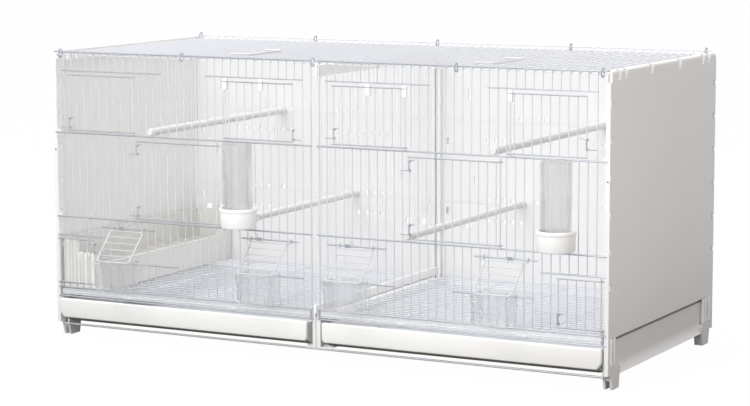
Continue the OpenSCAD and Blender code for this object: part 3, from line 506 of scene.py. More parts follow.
def buildLatch(node, door, z):
    bm = bmesh.new()
    side, x = door["side"], wireX(door["latch"])
    way = 1 if hingeX(door) > x else -1
    bar, high = cage["doorPlane"] - latch["ahead"], z + latch["height"]
    end, finger = x - way * latch["reach"], way * latch["finger"]
    path = [(end, bar + latch["tip"], z + 1), (end, bar, z + 1), (x, bar, z + 1), (x, bar, high - 1),
            (x + finger * 0.5, bar, high + 0.2), (x + finger, bar, high + 1.2)]
    bendWire(bm, roundCorners([(side * a, b, c) for a, b, c in path], latch["bend"]), grille["latch"])
    for ring in (z + 1, high - 1):  # a turn and a half round the door's edge wire
        turn = [
            (side * x + c, cage["doorPlane"] + s, ring + a / 360 * latch["ringRise"] - 0.9)
            for a, c, s in ringOf(latch["ring"], latch["ringTurn"])
        ]
        bendWire(bm, turn, grille["latch"], 6)
    finishPiece(bm, titleOf(node), "spring", node, [node], "spring_wire")


for doorName, doorValues in doors.items():
    buildDoor(doorName, doorValues)
    for latchName, latchHeight in doorValues["latches"].items():
        buildLatch(latchName, doorValues, latchHeight)
print("doors and latches made")


# feeder flaps, their springs and the clear cups

flap = {
    "width": 57.0, "length": 62.0, "lean": 45.0, "frame": 2.1, "cross": 1.4, "top": 5.0, "bend": 5.0,
    "eye": 2.8, "eyeWire": 1.7, "eyeTurn": range(-20, 321, 26), "barPast": 0.8,
    "eyeOffsets": {1: (-26.5, 26.5), 2: (-34.5, 31.8), 3: (-27.9, 25.2), 4: (-33.2, 33.2)},
    "crossFirst": 0.06, "crossStep": 0.188, "crossPast": 0.9,
}
spring = {"wire": 0.9, "radius": 2.3, "turns": 4, "rise": 2.0, "leg": 7.0, "length": 8.0, "steps": 16}
cup = {
    "width": 57.0, "depth": 46.8, "height": 42.0, "top": 125.96, "back": -205.1, "wall": 1.6,
    "corner": 9.0, "shift": -6.0, "footHigh": 5.0, "footShare": 0.93, "footBack": 1.4,
    "lipHalf": 16.5, "lipRise": 2.15, "lipFront": 0.8, "lipBack": 5.7, "lipThick": 1.6,
}


def flapCentre(feeder):
    return feeder["side"] * wireX(feeder["middle"])


def buildFlap(number, feeder):
    bm = bmesh.new()
    half, side, top, length = flap["width"] / 2, feeder["side"], flap["top"], flap["length"]
    frameWire = [(-half, 0, -top), (-half, 0, -length), (half, 0, -length), (half, 0, -top)]
    bendWire(bm, roundCorners(frameWire, flap["bend"]), flap["frame"])
    eyes = sorted(side * v for v in flap["eyeOffsets"][number])
    past = flap["barPast"]
    addBar(bm, min(eyes[0], -half) - past, max(eyes[1], half) + past, 0, -top, flap["cross"])
    for x in eyes:
        ring = [(x + (a - 120) / 240, s, -c) for a, c, s in ringOf(flap["eye"], flap["eyeTurn"])]
        bendWire(bm, [(x, 0, -top)] + ring, flap["eyeWire"], 8)
    past = flap["crossPast"]
    for i in range(1, 5):
        z = -length * (flap["crossFirst"] + flap["crossStep"] * i)
        addBar(bm, -half - past, half + past, 0.9, z, flap["cross"])
    lean = Matrix.Rotation(math.radians(-flap["lean"]), 4, "X")
    place = Matrix.Translation((flapCentre(feeder), cage["railPlane"], cage["feederRail"]))
    bmesh.ops.transform(bm, matrix=place @ lean, verts=bm.verts[:])
    finishNode(bm, f"feeder_flap_{number}", "wire")


def buildSpring(number, feeder):
    bm = bmesh.new()
    side, r, steps = feeder["side"], spring["radius"], spring["steps"]
    start = wireX(feeder["coil"]) - spring["length"] / 2
    path = [(start, r, -spring["leg"])]
    for i in range(spring["turns"] * steps + 1):
        a = math.radians(i * 360 / steps)
        path.append((start + i * spring["rise"] / steps, r * math.cos(a), r * math.sin(a)))
    path.append((start + spring["length"], r, spring["leg"]))
    path = [(side * x, cage["railPlane"] + y, cage["feederRail"] + z) for x, y, z in path]
    bendWire(bm, path, spring["wire"], 6)
    finishNode(bm, f"flap_spring_{number}", "spring", "spring_wire", body="cage_body")


def buildCup(number, feeder):
    # a block with rounded corners, hollowed from above; its foot is a little narrower than its rim
    bm = bmesh.new()
    x, back, half = flapCentre(feeder) + cup["shift"], cup["back"], cup["width"] / 2
    low = cup["top"] - cup["height"]
    addBlock(bm, (x - half, back - cup["depth"], low), (x + half, back, cup["top"]))
    softenEdges(bm, uprightEdges(bm), cup["corner"], 5)
    rim = topOf(bm.faces)
    bmesh.ops.inset_region(bm, faces=[rim], thickness=cup["wall"], depth=0)
    sunk = bmesh.ops.extrude_face_region(bm, geom=[rim])["geom"]
    if rim.is_valid:
        bmesh.ops.delete(bm, geom=[rim], context="FACES_ONLY")
    bmesh.ops.translate(bm, vec=(0, 0, cup["wall"] - cup["height"]), verts=vertsIn(sunk))
    foot = [v for v in bm.verts if v.co.z < low + cup["footHigh"]]
    middle = Matrix.Translation((x, back - cup["depth"] / 2, 0))
    share = cup["footShare"]
    bmesh.ops.scale(bm, vec=(share, share, 1), verts=foot, space=middle.inverted())
    bmesh.ops.translate(bm, vec=(0, cup["footBack"], 0), verts=foot)
    # lip over the lower rail
    lip, half = cage["sillRail"] + cup["lipRise"], cup["lipHalf"]
    near, far = back - cup["lipFront"], back + cup["lipBack"]
    addBlock(bm, (x - half, near, lip), (x + half, far, lip + cup["lipThick"]))
    finishNode(bm, f"feeder_cup_{number}", "clear", "clear_plastic", 30, 0.35)


for feederNumber, feederValues in feeders.items():
    buildFlap(feederNumber, feederValues)
    buildSpring(feederNumber, feederValues)
    buildCup(feederNumber, feederValues)
print("feeders made")


# silos

silo = {
    "places": {"left": (-111.0, 4.9), "right": (384.8, 0.0)},  # x, and the spout's shift from it
    "plane": -229.7, "low": 190.5, "cupRadius": 27.3, "cupHeight": 29.0, "wall": 1.6,
    "tubePlane": -231.7,  # the tube stands in the front of its cup and lifts past the shut door
    "tubeLow": 194.8, "tubeRadius": 22.0, "tubeHeight": 118.0,
    "spout": 8.4, "spoutRise": 5.0, "spoutHigh": 10.0, "spoutIn": 2.2, "spoutOut": 17.0,
    "spoutWall": 1.4, "spoutDeep": 8.4,
}


def buildSilo(hand, place):
    x, offset = place
    r, h, w = silo["cupRadius"], silo["cupHeight"], silo["wall"]
    bm = bmesh.new()
    profile = [
        (0, 1.2), (r - 8, 1.2), (r - 7, 0), (r - 4, 0), (r - 2.2, 0.8), (r - 1.3, 2.4), (r - 1.1, h - 6),
        (r - 0.2, h - 5), (r, h - 4.4), (r, h - 0.7), (r - 0.4, h), (r - w + 0.2, h), (r - w - 0.1, h - 0.5),
        (r - w - 1.2, h - 5), (r - w - 1.4, 4), (r - w - 3, 2.8), (0, 2.8),
    ]
    spinProfile(bm, profile, (x, silo["plane"], silo["low"]))
    middle, half = x + offset, silo["spout"] / 2
    low = silo["low"] + silo["spoutRise"]
    near, far = silo["plane"] + r - silo["spoutIn"], silo["plane"] + r + silo["spoutOut"]
    verts = addBlock(bm, (middle - half, near, low), (middle + half, far, low + silo["spoutHigh"]))
    lid = topOf(f for v in verts for f in v.link_faces)
    bmesh.ops.inset_region(bm, faces=[lid], thickness=silo["spoutWall"], depth=0)
    bmesh.ops.translate(bm, vec=(0, 0, -silo["spoutDeep"]), verts=lid.verts[:])
    finishNode(bm, "silo_cup_" + hand, "bright", "white_plastic", 32)
    bm = bmesh.new()
    r, h = silo["tubeRadius"], silo["tubeHeight"]
    profile = [
        (r - w, 0), (r, 0), (r, h - 9), (r + 0.5, h - 8), (r + 0.5, h - 6), (r, h - 5), (r, h - 2.4),
        (r - 1, h - 0.6), (r - 3, h), (0, h), (0, h - w), (r - 3.4, h - w), (r - w - 0.5, h - 3),
        (r - w, h - 5), (r - w, 0),
    ]
    spinProfile(bm, profile, (x, silo["tubePlane"], silo["tubeLow"]))
    finishNode(bm, "silo_tube_" + hand, "tube", "clear_plastic", 32)


for handName, siloPlace in silo["places"].items():
    buildSilo(handName, siloPlace)
print("silos made")


# roof, clips and handles

roof = {
    "wire": 1.8, "rail": 2.5, "frontRail": 1.3, "height": 429.2, "railHeight": 427.2, "railReach": 443.7,
    "wireFront": -199.0, "backPlane": 195.5, "backHeight": 434.4, "frontPlane": -197.7,
    "rails": [-197.7, -67.67, 67.67, 179.0], "count": 66,
    "clips": [-437.5, -221.85, -3.5, 221.85, 437.5], "clipWire": 1.9, "clipTurn": range(30, 391, 24),
    "clipRings": ((-200.4, 429.6, 6.0), (194.1, 433.4, 5.1)),  # y, z and radius, front and back
}
handle = {"places": {"left": 19, "right": 49}, "front": -129.0, "back": -33.0, "start": 1.5, "reach": 28.0,
          "grip": 3.6, "bend": 9.0, "flat": 0.6, "ring": 2.6, "ringTurn": range(0, 331, 22)}


def roofX(i):
    return (i - (roof["count"] - 1) / 2) * 2 * wireX(cage["lastWire"]) / (roof["count"] - 1)


def buildRoof():
    bm = bmesh.new()
    back, high, reach = roof["backPlane"], roof["height"], roof["railReach"]
    for i in range(roof["count"]):
        x = roofX(i)
        path = [(x, roof["wireFront"], high), (x, back, high), (x, back, roof["backHeight"] + 0.6)]
        bendWire(bm, roundCorners(path, 2.0, 3), roof["wire"], 8)
    for y in roof["rails"]:
        width = roof["frontRail"] if y == roof["frontPlane"] else roof["rail"]
        addBar(bm, -reach, reach, y, roof["railHeight"], width)
    addBar(bm, -reach, reach, back, roof["backHeight"], roof["rail"])
    finishNode(bm, "roof_grille", "roof", body="cage_body")


def buildClips():
    # each clip is a wire ring with its two ends side by side
    bm = bmesh.new()
    for x in roof["clips"]:
        for y, z, r in roof["clipRings"]:
            turn = ringOf(r, roof["clipTurn"])
            ring = [(x + (a - 210) / 360 * 1.2, y + s, z - c) for a, c, s in turn]
            bendWire(bm, ring, roof["clipWire"], 8)
    finishNode(bm, "roof_clips", "spring", "spring_wire", body="cage_body")


def buildHandle(hand, wire):
    bm = bmesh.new()
    x, front, back = roofX(wire), handle["front"], handle["back"]
    z = roof["height"] + 1.6 + handle["grip"] * 0.3
    inner, outer = x + handle["start"], x + handle["reach"]
    path = [(inner, front, z), (outer, front, z), (outer, back, z), (inner, back, z)]
    bendWire(bm, roundCorners(path, handle["bend"], 5), handle["grip"], 12)
    bmesh.ops.scale(bm, vec=(1, 1, handle["flat"]), verts=bm.verts[:], space=Matrix.Translation((0, 0, -z)))
    for y in (front, back):
        turn = ringOf(handle["ring"], handle["ringTurn"])
        bendWire(bm, [(x + c, y, roof["height"] + s) for a, c, s in turn], handle["ring"], 8)
    finishNode(bm, "handle_" + hand, "cream", "cream_plastic")


buildRoof()
buildClips()
for handName, wireNumber in handle["places"].items():
    buildHandle(handName, wireNumber)
print("roof made")


# wire floors, divider and tie wires

floor = {
    "barHeight": 66.25, "wireHeight": 68.25, "pitch": 13.0, "front": -202.1, "back": 186.0,
    "inside": 8.75, "outside": 439.95, "stripLow": 64.65, "stripHigh": 73.85, "wire": 2.0, "bar": 3.2,
    "tabs": (0.3, 0.72), "tabHalf": 7.0,
}
divider = {"front": -202.0, "back": 189.0, "low": 70.65, "high": 425.0, "header": 16.0, "strip": 12.0,
           "half": 2.0, "wire": 1.0, "edge": 3.6, "pitch": 13.3}
tie = {"plane": 199.0, "reach": 442.5, "height": 19.0, "return": 18.0, "bend": 3.0, "wire": 3.2}


def buildFloor(hand):
    bm, side = bmesh.new(), sides[hand]
    inside, outside, front, back = (floor[k] for k in ("inside", "outside", "front", "back"))
    quarters = (0.75 * inside + 0.25 * outside, 0.5 * (inside + outside), 0.25 * inside + 0.75 * outside)
    z = floor["barHeight"]
    for x in (inside + 2, *quarters, outside - 2):
        addWire(bm, (side * x, front - 0.5, z), (side * x, back, z), floor["bar"])
    count = math.floor((back - front) / floor["pitch"])
    for i in range(1, count + 1):
        y = front + i * (back - front) / count
        addBar(bm, side * inside, side * outside, y, floor["wireHeight"], floor["wire"])
    finishNode(bm, "floor_grille_" + hand, "floor")


def buildStrip(hand):
    # the folded front edge of the wire floor, drawn along x from its section
    bm, side = bmesh.new(), sides[hand]
    y, low, high = floor["front"], floor["stripLow"], floor["stripHigh"]
    fold = low + 0.4 * (high - low)
    section = [
        (y, low), (y, high), (y - 0.6, high + 0.2), (y - 1.1, high - 0.3), (y - 1.1, fold + 0.9),
        (y - 1.9, fold + 0.3), (y - 1.9, fold - 0.2), (y - 1.1, fold - 0.8), (y - 1.1, low + 0.4),
        (y - 0.5, low),
    ]
    face = bm.faces.new([bm.verts.new((side * floor["inside"], a, b)) for a, b in section])
    grown = bmesh.ops.extrude_face_region(bm, geom=[face])["geom"]
    length = side * (floor["outside"] - floor["inside"])
    bmesh.ops.translate(bm, vec=(length, 0, 0), verts=vertsIn(grown))
    half = floor["tabHalf"]
    for share in floor["tabs"]:
        x = side * (share * floor["outside"] + half)
        addBlock(bm, (x - half, y - 4, low + 1), (x + half, y - 0.5, low + 2.4))
    finishPiece(bm, "floorStrip" + hand.title(), "sheet", "floor_grille_" + hand, (), "zinc_wire", 30)


def buildDivider():
    bm = bmesh.new()
    front, back, low, high, half = (divider[k] for k in ("front", "back", "low", "high", "half"))
    count = round((back - front - 10) / divider["pitch"])
    for i in range(count + 1):
        y = front + 6 + i * (back - front - 8) / count
        addUpright(bm, 0, y, low + 2, high - 2, divider["edge"] if i == count else divider["wire"])
    finishPiece(bm, "dividerWires", "divider", "divider", ["divider"])
    bm = bmesh.new()
    addBlock(bm, (-half, front + 4, high - divider["header"]), (half, back, high))
    addBlock(bm, (-half, front - 3, low), (half, back, low + divider["strip"]))
    finishPiece(bm, "dividerStrips", "bright", "divider", (), "white_plastic", 30, 0.7)


def buildTieWire(end, node):
    bm = bmesh.new()
    y, x, z = end * tie["plane"], tie["reach"], tie["height"]
    turned = y - end * tie["return"]
    path = [(-x, turned, z), (-x, y, z), (x, y, z), (x, turned, z)]
    bendWire(bm, roundCorners(path, tie["bend"]), tie["wire"], 10)
    finishNode(bm, node, "wire", body="cage_body")


for handName in sides:
    buildFloor(handName)
    buildStrip(handName)
buildDivider()
buildTieWire(-1, "front_tie_wire")
buildTieWire(1, "back_tie_wire")
print("floors, divider and tie wires made")


# trays and the side trough

tray = {
    "inside": 14.5, "outside": 435.5, "low": 23.5, "high": 55.5, "front": -204.5, "back": 186.0,
    "wall": 2.0, "corner": 4.0,
    "tuck": 13.0, "tuckHigh": 31.0,  # below this height the bottom slopes back under the front plate
    "plateInside": 12.3, "plateOutside": 442.3, "plateLow": 30.0, "plateHigh": 59.0,
    "plateFront": -208.7, "plateBack": -204.0, "plateSoft": 2.2,
    "cutCorner": 7.0, "lipRoll": 3.2, "lipInset": 1.9,
}
trough = {
    "outside": -441.0, "inside": -379.0, "front": -196.5, "back": 187.5,
    "low": 69.7, "lowSide": 111.7, "middle": 130.5, "tall": 149.7,
    "wall": 2.0, "corner": 3.0, "hood": 46.0,
    "columns": 5, "tallColumns": 2, "columnWidth": 12.2, "columnGap": 0.7, "columnProud": 5.2,
    "ribs": 24, "ribHigh": 106.0, "ribWide": 1.8, "ribStep": 3,
}


def buildTray(hand):
    bm, side = bmesh.new(), sides[hand]
    low, high, wall, front = tray["low"], tray["high"], tray["wall"], tray["front"]
    addBlock(bm, (tray["inside"], front, low), (tray["outside"], tray["back"], high))
    softenEdges(bm, uprightEdges(bm), tray["corner"], 3)
    rim = topOf(bm.faces)
    bmesh.ops.inset_region(bm, faces=[rim], thickness=wall, depth=0)
    sunk = bmesh.ops.extrude_discrete_faces(bm, faces=[rim])["faces"][0]
    # the inner bottom takes the grey-blue finish: painted shade
    sunk.material_index = 1
    bmesh.ops.translate(bm, vec=(0, 0, low + wall - high), verts=sunk.verts[:])
    cutAcross(bm, (0, 0, tray["tuckHigh"]), (0, 0, 1))
    for v in bm.verts:
        if v.co.z < low + wall + 1 and v.co.y < front + 10:
            v.co.y += tray["tuck"]
    # the bottom and the low front that slopes back under the plate take the brown-grey finish: painted shade
    # under the tray
    for f in bm.faces:
        middle = f.calc_center_median()
        if middle.z < tray["tuckHigh"] and (middle.y < front + tray["tuck"] or middle.z < low + 0.5):
            f.material_index = 2
    # the front plate: its outline, with the lower corners cut, pushed forward and softened
    xs, xe, zl, zh = (tray["plate" + k] for k in ("Inside", "Outside", "Low", "High"))
    cut = tray["cutCorner"]
    outline = [(xs + 3, zl), (xe - cut, zl), (xe, zl + cut * 1.3), (xe, zh - 2), (xe - 2, zh), (xs + 2, zh),
               (xs, zh - 2), (xs, zl + 5)]
    face = bm.faces.new([bm.verts.new((x, tray["plateBack"], z)) for x, z in outline])
    ahead = vertsIn(bmesh.ops.extrude_face_region(bm, geom=[face])["geom"])
    bmesh.ops.translate(bm, vec=(0, tray["plateFront"] - tray["plateBack"], 0), verts=ahead)
    rimEdges = list({e for v in ahead for e in v.link_edges if e.other_vert(v) in ahead})
    softenEdges(bm, rimEdges, tray["plateSoft"], 4)
    inset = tray["lipInset"]
    addBar(bm, xs + 5, xe - 5, tray["plateFront"] + inset, zh - inset, tray["lipRoll"], 12)
    bmesh.ops.scale(bm, vec=(side, 1, 1), verts=bm.verts[:])
    finishNode(bm, "tray_" + hand, "ivory trayFloor under", "ivory_plastic", 32)


def addColumn(bm, x, y, low, high, radius):
    # an upright round rib with a domed top
    place, long = Matrix.Translation((x, y, (low + high) / 2)), high - low
    bmesh.ops.create_cone(
        bm, cap_ends=False, segments=14, radius1=radius, radius2=radius, depth=long, matrix=place
    )
    dome = bmesh.ops.create_uvsphere(bm, u_segments=14, v_segments=8, radius=radius)
    bmesh.ops.translate(bm, vec=(x, y, high), verts=dome["verts"])


def buildTrough():
    bm = bmesh.new()
    x0, x1, y0, y1, low = (trough[k] for k in ("outside", "inside", "front", "back", "low"))
    tall, lowSide, yHood = trough["tall"], trough["lowSide"], y1 - trough["hood"]
    # an open box whose right side is low: cut down from a tall one
    addBlock(bm, (x0, y0, low), (x1, y1, tall))
    softenEdges(bm, uprightEdges(bm), trough["corner"], 3)
    bmesh.ops.delete(bm, geom=[topOf(bm.faces)], context="FACES_ONLY")
    for height, lowX, highX, lowY, highY in (
        (lowSide, x0 + 8, x1 + 1, y0 + 6, yHood),
        (trough["middle"] - 5.5, x0 + 26, x1 + 1, y0 - 1, y0 + 6),
        (tall - 5.5, x0 + 3.2, x0 + 26, y0 - 1, y0 + 6),
    ):
        cutAcross(bm, (0, lowY, 0), (0, 1, 0))
        cutAcross(bm, (0, highY, 0), (0, 1, 0))
        cutAcross(bm, (lowX, 0, 0), (1, 0, 0))
        cutAcross(bm, (0, 0, height), (0, 0, 1))
        gone = [
            f for f in bm.faces
            if (c := f.calc_center_median()).z > height and lowX < c.x < highX and lowY < c.y < highY
        ]
        bmesh.ops.delete(bm, geom=gone, context="FACES")
    bmesh.ops.recalc_face_normals(bm, faces=bm.faces[:])
    bmesh.ops.solidify(bm, geom=bm.faces[:], thickness=trough["wall"])
    step = trough["columnWidth"]
    radius = step / 2 - trough["columnGap"]
    for i in range(trough["columns"]):
        high = tall if i < trough["tallColumns"] else trough["middle"]
        y = y0 + radius - trough["columnProud"]
        addColumn(bm, x0 + step * (i + 0.55), y, low + 2, high - radius, radius)
    # rolled rims, a ledge at the foot of the columns, and low cross ribs
    addWire(bm, (x1 - 1, y0 + 7, lowSide), (x1 - 1, yHood, lowSide), 3.4, 12)
    addWire(bm, (x0 + 1.2, y0 + 3, tall - 0.5), (x0 + 1.2, y1 - 3, tall - 0.5), 2.6, 10)
    addBlock(bm, (x0 + 1, y0 - 1.4, low), (x1 - 1, y0 + 1, low + 3.5))
    for i in range(1, trough["ribs"]):
        y = y0 + i * (y1 - y0) / trough["ribs"]
        high = trough["ribHigh"] - (i % 2) * trough["ribStep"]
        addBlock(bm, (x0 + 1.5, y, low + 1), (x1 - 1.5, y + trough["ribWide"], high))
    finishNode(bm, "side_trough", "trough", "ivory_plastic", 38, body="cage_body")


for handName in sides:
    buildTray(handName)
buildTrough()
print("trays and trough made")


# moulded pieces whose CAD shape is right: soft edges and their own finish

notch = {
    "width": 11.5, "inward": 4.6, "past": 3.0, "over": 4.0,
    # places along the panel's upper edge, and how deep each pocket reaches
    "top": {-203.0: 16.0, -172.0: 10.0, -149.0: 9.0, -54.0: 8.6, 54.0: 8.6, 149.0: 8.6, 172.0: 8.6},
    "edgeRadius": 2.6, "edgeReach": 3.0, "edgeX": (440.0, 455.0),
    "edge": [388.0, 338.5, 289.0, 239.5, 190.0, 140.5],
    "gapLow": 64.6, "gapHigh": 71.1, "gapDeep": 2.3, "gapOutside": 449.0, "gapInset": 29.0,
    "sharp": 20, "flatArea": 1e-5,  # square metres
}
# metres, as in the CAD copy: round holes up to the widest, tall slots between the two heights
holes = {"widest": 0.0055, "wider": 1.5, "slotLow": 0.015, "slotHigh": 0.025, "slotWider": 1.6,
         "flatArea": 1.5e-3}


def cutNotches(piece, side):
    bm = bmesh.new()
    half, top = notch["width"] / 2, cage["topRail"]
    for y, depth in notch["top"].items():  # open pockets along the upper edge
        low = (side * (cage["halfWidth"] - notch["inward"]), y - half, top - depth)
        addBlock(bm, low, (side * (cage["halfWidth"] + notch["past"]), y + half, top + notch["over"]))
    y = cage["halfDepth"] + notch["edgeRadius"] - notch["edgeReach"]
    near, far = (side * x for x in notch["edgeX"])
    for z in notch["edge"]:  # rounds up the back edge
        addBar(bm, near, far, y, z, notch["edgeRadius"] * 2, 20)
    # the shadow gap under the panel's lower edge
    near, reach = side * (cage["rimInside"] - notch["gapDeep"]), cage["halfDepth"] - notch["gapInset"]
    addBlock(bm, (near, -reach, notch["gapLow"]), (side * notch["gapOutside"], reach, notch["gapHigh"]))
    piece.modifiers["softEdges"].harden_normals = False
    toFrame(bm)
    cutter = addObject("notchCutter", meshFrom(bm, "notchCutter"))
    cut = piece.modifiers.new("notches", "BOOLEAN")
    cut.object = cutter
    cut.operation = "DIFFERENCE"
    cut.solver = "EXACT"
    bpy.context.view_layer.update()
    shaped = piece.evaluated_get(bpy.context.evaluated_depsgraph_get())
    carved = bpy.data.meshes.new_from_object(shaped)
    piece.modifiers.clear()
    carved.set_sharp_from_angle(angle=math.radians(notch["sharp"]))
    for face in carved.polygons:  # the broad faces stay flat in the light
        face.use_smooth = face.area < notch["flatArea"]
    piece.data = carved
    bpy.data.objects.remove(cutter)


def joinedWalls(walls):
    # takes one hole's ring of wall faces out of the set
    group, edge = set(), [walls.pop()]
    while edge:
        face = edge.pop()
        group.add(face)
        for near in {n for e in face.edges for n in e.link_faces} & walls:
            walls.discard(near)
            edge.append(near)
    return group


def widenHoles(piece):
    # drawn wider than they are, or they wouldn't show as the bright dots of the real back
    bm = bmesh.new()
    bm.from_mesh(piece.data)
    walls = {f for f in bm.faces if abs(f.normal.y) < 0.1}
    while walls:
        verts = list({v for f in joinedWalls(walls) for v in f.verts})
        xs, zs = [v.co.x for v in verts], [v.co.z for v in verts]
        width, height = max(xs) - min(xs), max(zs) - min(zs)
        tallSlot = width < holes["widest"] and holes["slotLow"] < height < holes["slotHigh"]
        if max(width, height) > holes["widest"] and not tallSlot:
            continue
        grow = (holes["slotWider"], 1, 1) if tallSlot else (holes["wider"], 1, holes["wider"])
        middle = Vector(((max(xs) + min(xs)) / 2, 0, (max(zs) + min(zs)) / 2))
        bmesh.ops.scale(bm, vec=grow, verts=verts, space=Matrix.Translation(-middle))
    for face in bm.faces:  # the broad faces stay flat in the light
        face.smooth = face.calc_area() < holes["flatArea"]
    bm.to_mesh(piece.data)
    bm.free()
    piece.modifiers["softEdges"].harden_normals = False


moulded = {  # finish, the record's material slot, width of the soft edges
    "side_panel_left": ("white", "white_plastic", 0.5),
    "side_panel_right": ("white", "white_plastic", 0.5),
    "back_panel_left": ("back", "white_plastic", 0.25),
    "back_panel_right": ("back", "white_plastic", 0.25),
    "back_center_post": ("bright", "white_plastic", 0.5),
    "center_beam": ("white", "white_plastic", 0.4),
    "perch_upper_left": ("perch", "cream_plastic", 0.4),
    "perch_upper_right": ("perch", "cream_plastic", 0.4),
    "perch_lower_left": ("perch", "cream_plastic", 0.4),
    "perch_lower_right": ("perch", "cream_plastic", 0.4),
}
for nodeName, nodeLook in moulded.items():
    piece = refineNode(nodeName, *nodeLook)
    if nodeName.startswith("side_panel"):
        cutNotches(piece, sides[nodeName.split("_")[2]])
    elif nodeName.startswith("back_panel"):
        widenHoles(piece)
print("moulded pieces made")


# small trim: corner beads, dark strips painted as the shadow under the panels, hinge sleeves and pins

trim = {
    "bead": 5.0, "beadX": 449.4, "beads": [-193.0, -182.5, 164.0, 173.5, 189.0],
    "beadLow": 34.0, "beadHigh": 70.0,
    "pad": 3.0, "padX": 449.6, "padY": -199.6, "padHigh": 8.0,
    "sealX": (441.6, 442.4), "shadowStripInset": 29.5, "shadowStripPlay": 0.2,
    "sleeve": (7.0, 5.6, 16.5), "sleeveTop": 402.4, "sleeveSoft": 1.2,
    "sleeves": {"upper_door_2": [-145.27, -86.2], "upper_door_3": [145.27, 88.0], "upper_door_4": [305.8]},
    "pin": (447.0, 284.6), "pinWidth": 2.6, "pinIn": 2.0, "pinOut": 0.5,
}


def buildBeads(hand):
    # upright beads beside the feet
    bm, side = bmesh.new(), sides[hand]
    for y in trim["beads"]:
        addUpright(bm, side * trim["beadX"], y, trim["beadLow"], trim["beadHigh"], trim["bead"], 16)
    half = trim["padHigh"] / 2
    for z in notch["edge"]:  # and small pads up the front edge
        addUpright(bm, side * trim["padX"], trim["padY"], z - half, z + half, trim["pad"], 16)
    finishPiece(bm, "cornerBeads" + hand.title(), "bright", "cage_body", (), "white_plastic", 40, 0.6)


def buildShadowStrip(hand):
    # a dark grey strip put in the gap under the panel's lower edge: painted shadow
    bm, side = bmesh.new(), sides[hand]
    near, far = (side * v for v in trim["sealX"])
    reach, play = cage["halfDepth"] - trim["shadowStripInset"], trim["shadowStripPlay"]
    addBlock(bm, (near, -reach, notch["gapLow"] + play), (far, reach, notch["gapHigh"] - play))
    finishPiece(bm, "panelSeal" + hand.title(), "seal", "cage_body", (), "white_plastic", 30)


def buildSleeves(door, places):
    # white sleeves clipped over the upper hinge eye and over a wire of the door
    bm = bmesh.new()
    width, depth, height = trim["sleeve"]
    y, top = cage["hingePlane"], trim["sleeveTop"]
    for x in places:
        addBlock(bm, (x - width / 2, y - depth / 2, top - height), (x + width / 2, y + depth / 2, top))
    finishPiece(bm, "doorSleeves" + door[-1], "bright", door, (), "white_plastic", 30, trim["sleeveSoft"])


def buildPins():
    bm = bmesh.new()
    x, z = trim["pin"]
    edge = -cage["halfDepth"]
    for side in (-1, 1):
        start, end = (side * x, edge + trim["pinIn"], z), (side * x, edge - trim["pinOut"], z)
        addWire(bm, start, end, trim["pinWidth"], 16)
    finishPiece(bm, "panelPins", "pin", "cage_body", (), "spring_wire", 30, 0.3)


for handName in sides:
    buildBeads(handName)
    buildShadowStrip(handName)
for doorBody, sleevePlaces in trim["sleeves"].items():
    buildSleeves(doorBody, sleevePlaces)
buildPins()
print("trim made")


# paper floor, light and camera; here places are metres in the model's frame, the camera's is not

studio = {
    "sky": (1.0, 0.995, 0.995, 1),
    "skyStrength": 0.66,
    "paperSize": 12.0,
    "paperSeen": 0.92,  # how pale the paper looks
    "paperGlow": 0.985,  # how much of that is its own light
    "bounce": (0.12, 0.55),  # how much light it throws back: little under the cage, more from afar
    "bounceEdge": (0.6, 1.5),  # how far from the middle that change lies
}
lamps = {
    "key": {"place": (0.3, -3.3, 1.7), "aim": (0, 0, 0.2), "size": 2.6, "power": 36.0},
    "top": {"place": (-0.6, -0.5, 2.7), "aim": (0, 0, 0.2), "size": 2.8, "power": 72.0,
            "mirrored": False},  # no streak of light along the top of each rail
    "fill": {"place": (0.12, -1.1, 0.27), "aim": (-0.42, 0.1, 0.12), "size": 0.5, "power": 2.8},
    "side": {"place": (1.0, -0.42, 0.25), "aim": (0.45, -0.14, 0.2), "size": 0.4, "power": 0.35,
             "colour": (1.0, 0.82, 0.7)},  # the side panel looks a little warmer than the rest
}
camera = {"place": (1622.2, -3066.4, 669.9), "azimuth": 28.044, "elevation": 7.624, "roll": -0.175,
          "lens": 112.25, "sensor": 36.0, "clip": (0.1, 60.0)}


def eitherOf(tree, first, second):
    return addNode(tree, "ShaderNodeMath", {}, {0: first, 1: second}, operation="MAXIMUM").outputs[0]


def mixShaders(tree, share, first, second):
    links = {0: share, 1: first.outputs[0], 2: second.outputs[0]}
    return addNode(tree, "ShaderNodeMixShader", {}, links).outputs[0]


def paperFloor():
    material, tree, place = startMaterial("whitePaperSweep")
    rays = addNode(tree, "ShaderNodeLightPath").outputs
    seen = studio["paperSeen"]
    (near, far), (start, end) = studio["bounce"], studio["bounceEdge"]
    away = addNode(tree, "ShaderNodeVectorMath", {}, {0: place}, operation="LENGTH")
    ends = {"From Min": start, "From Max": end, "To Min": near, "To Max": far}
    bounce = addNode(tree, "ShaderNodeMapRange", ends, {"Value": away.outputs["Value"]})
    links = {"Fac": rays["Is Camera Ray"], "Color1": bounce.outputs["Result"]}
    pale = addNode(tree, "ShaderNodeMixRGB", {"Color2": (seen, seen, seen, 1)}, links)
    paper = addNode(tree, "ShaderNodeBsdfDiffuse", {}, {"Color": pale.outputs["Color"]})
    glow = addNode(tree, "ShaderNodeEmission", {"Color": (1, 1, 1, 1), "Strength": 1.0})
    looked = eitherOf(tree, rays["Is Camera Ray"], rays["Is Transmission Ray"])
    share = addNode(tree, "ShaderNodeMath", {1: studio["paperGlow"]}, {0: looked}, operation="MULTIPLY")
    both = mixShaders(tree, share.outputs[0], paper, glow)
    addNode(tree, "ShaderNodeOutputMaterial", {}, {"Surface": both})
    return material


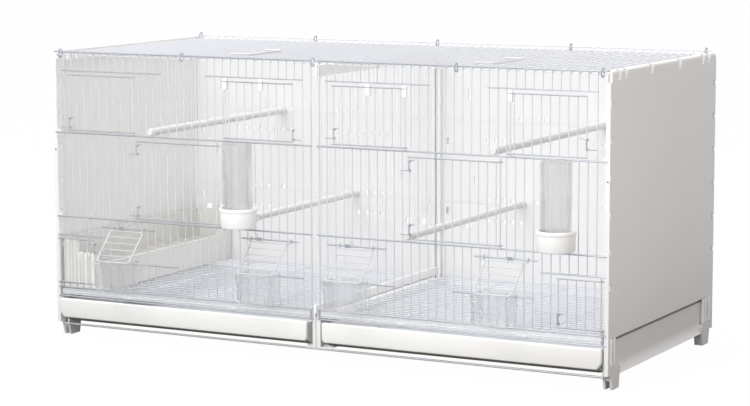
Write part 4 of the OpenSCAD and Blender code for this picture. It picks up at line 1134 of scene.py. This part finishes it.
def buildPaper():
    bm = bmesh.new()
    bmesh.ops.create_grid(bm, x_segments=1, y_segments=1, size=studio["paperSize"])
    sweep = addObject("paperSweep", meshFrom(bm, "paperSweep"))
    sweep.data.materials.append(paperFloor())


def buildSky():
    # white where the camera looks, past clear plastic and in the metal; softer as a light
    world = bpy.data.worlds.new("studioSky")
    bpy.context.scene.world = world
    world.use_nodes = True
    tree = world.node_tree
    tree.nodes.clear()
    rays = addNode(tree, "ShaderNodeLightPath").outputs
    sky = addNode(tree, "ShaderNodeBackground", {"Color": studio["sky"], "Strength": studio["skyStrength"]})
    white = addNode(tree, "ShaderNodeBackground", {"Color": (1, 1, 1, 1), "Strength": 1.0})
    clear = eitherOf(tree, rays["Is Camera Ray"], rays["Is Transmission Ray"])
    both = mixShaders(tree, eitherOf(tree, clear, rays["Is Glossy Ray"]), sky, white)
    addNode(tree, "ShaderNodeOutputWorld", {}, {"Surface": both})


def buildLamps():
    for name, values in lamps.items():
        lamp = bpy.data.lights.new(name + "Light", "AREA")
        lamp.size = values["size"]
        lamp.energy = values["power"]
        lamp.color = values.get("colour", (1.0, 1.0, 1.0))
        shown = addObject(name + "Light", lamp)
        shown.location = values["place"]
        shown.visible_camera = False
        shown.visible_glossy = values.get("mirrored", True)
        aim = Vector(values["aim"]) - shown.location
        shown.rotation_euler = aim.to_track_quat("-Z", "Y").to_euler()


def buildCamera():
    lens = bpy.data.cameras.new("photoCamera")
    lens.lens = camera["lens"]
    lens.sensor_width = camera["sensor"]
    lens.clip_start, lens.clip_end = camera["clip"]
    shown = addObject("photoCamera", lens)
    x, y, z = camera["place"]
    turn = (
        Matrix.Rotation(math.radians(camera["azimuth"]), 4, "Z")
        @ Matrix.Rotation(math.radians(90 - camera["elevation"]), 4, "X")
        @ Matrix.Rotation(math.radians(camera["roll"]), 4, "Z")
    )
    shown.matrix_world = Matrix.Translation((x / 1000, (y + cage["shiftBack"]) / 1000, z / 1000)) @ turn
    bpy.context.scene.camera = shown


buildPaper()
buildSky()
buildLamps()
bpy.context.scene.view_settings.view_transform = "Standard"
buildCamera()
print("studio made")
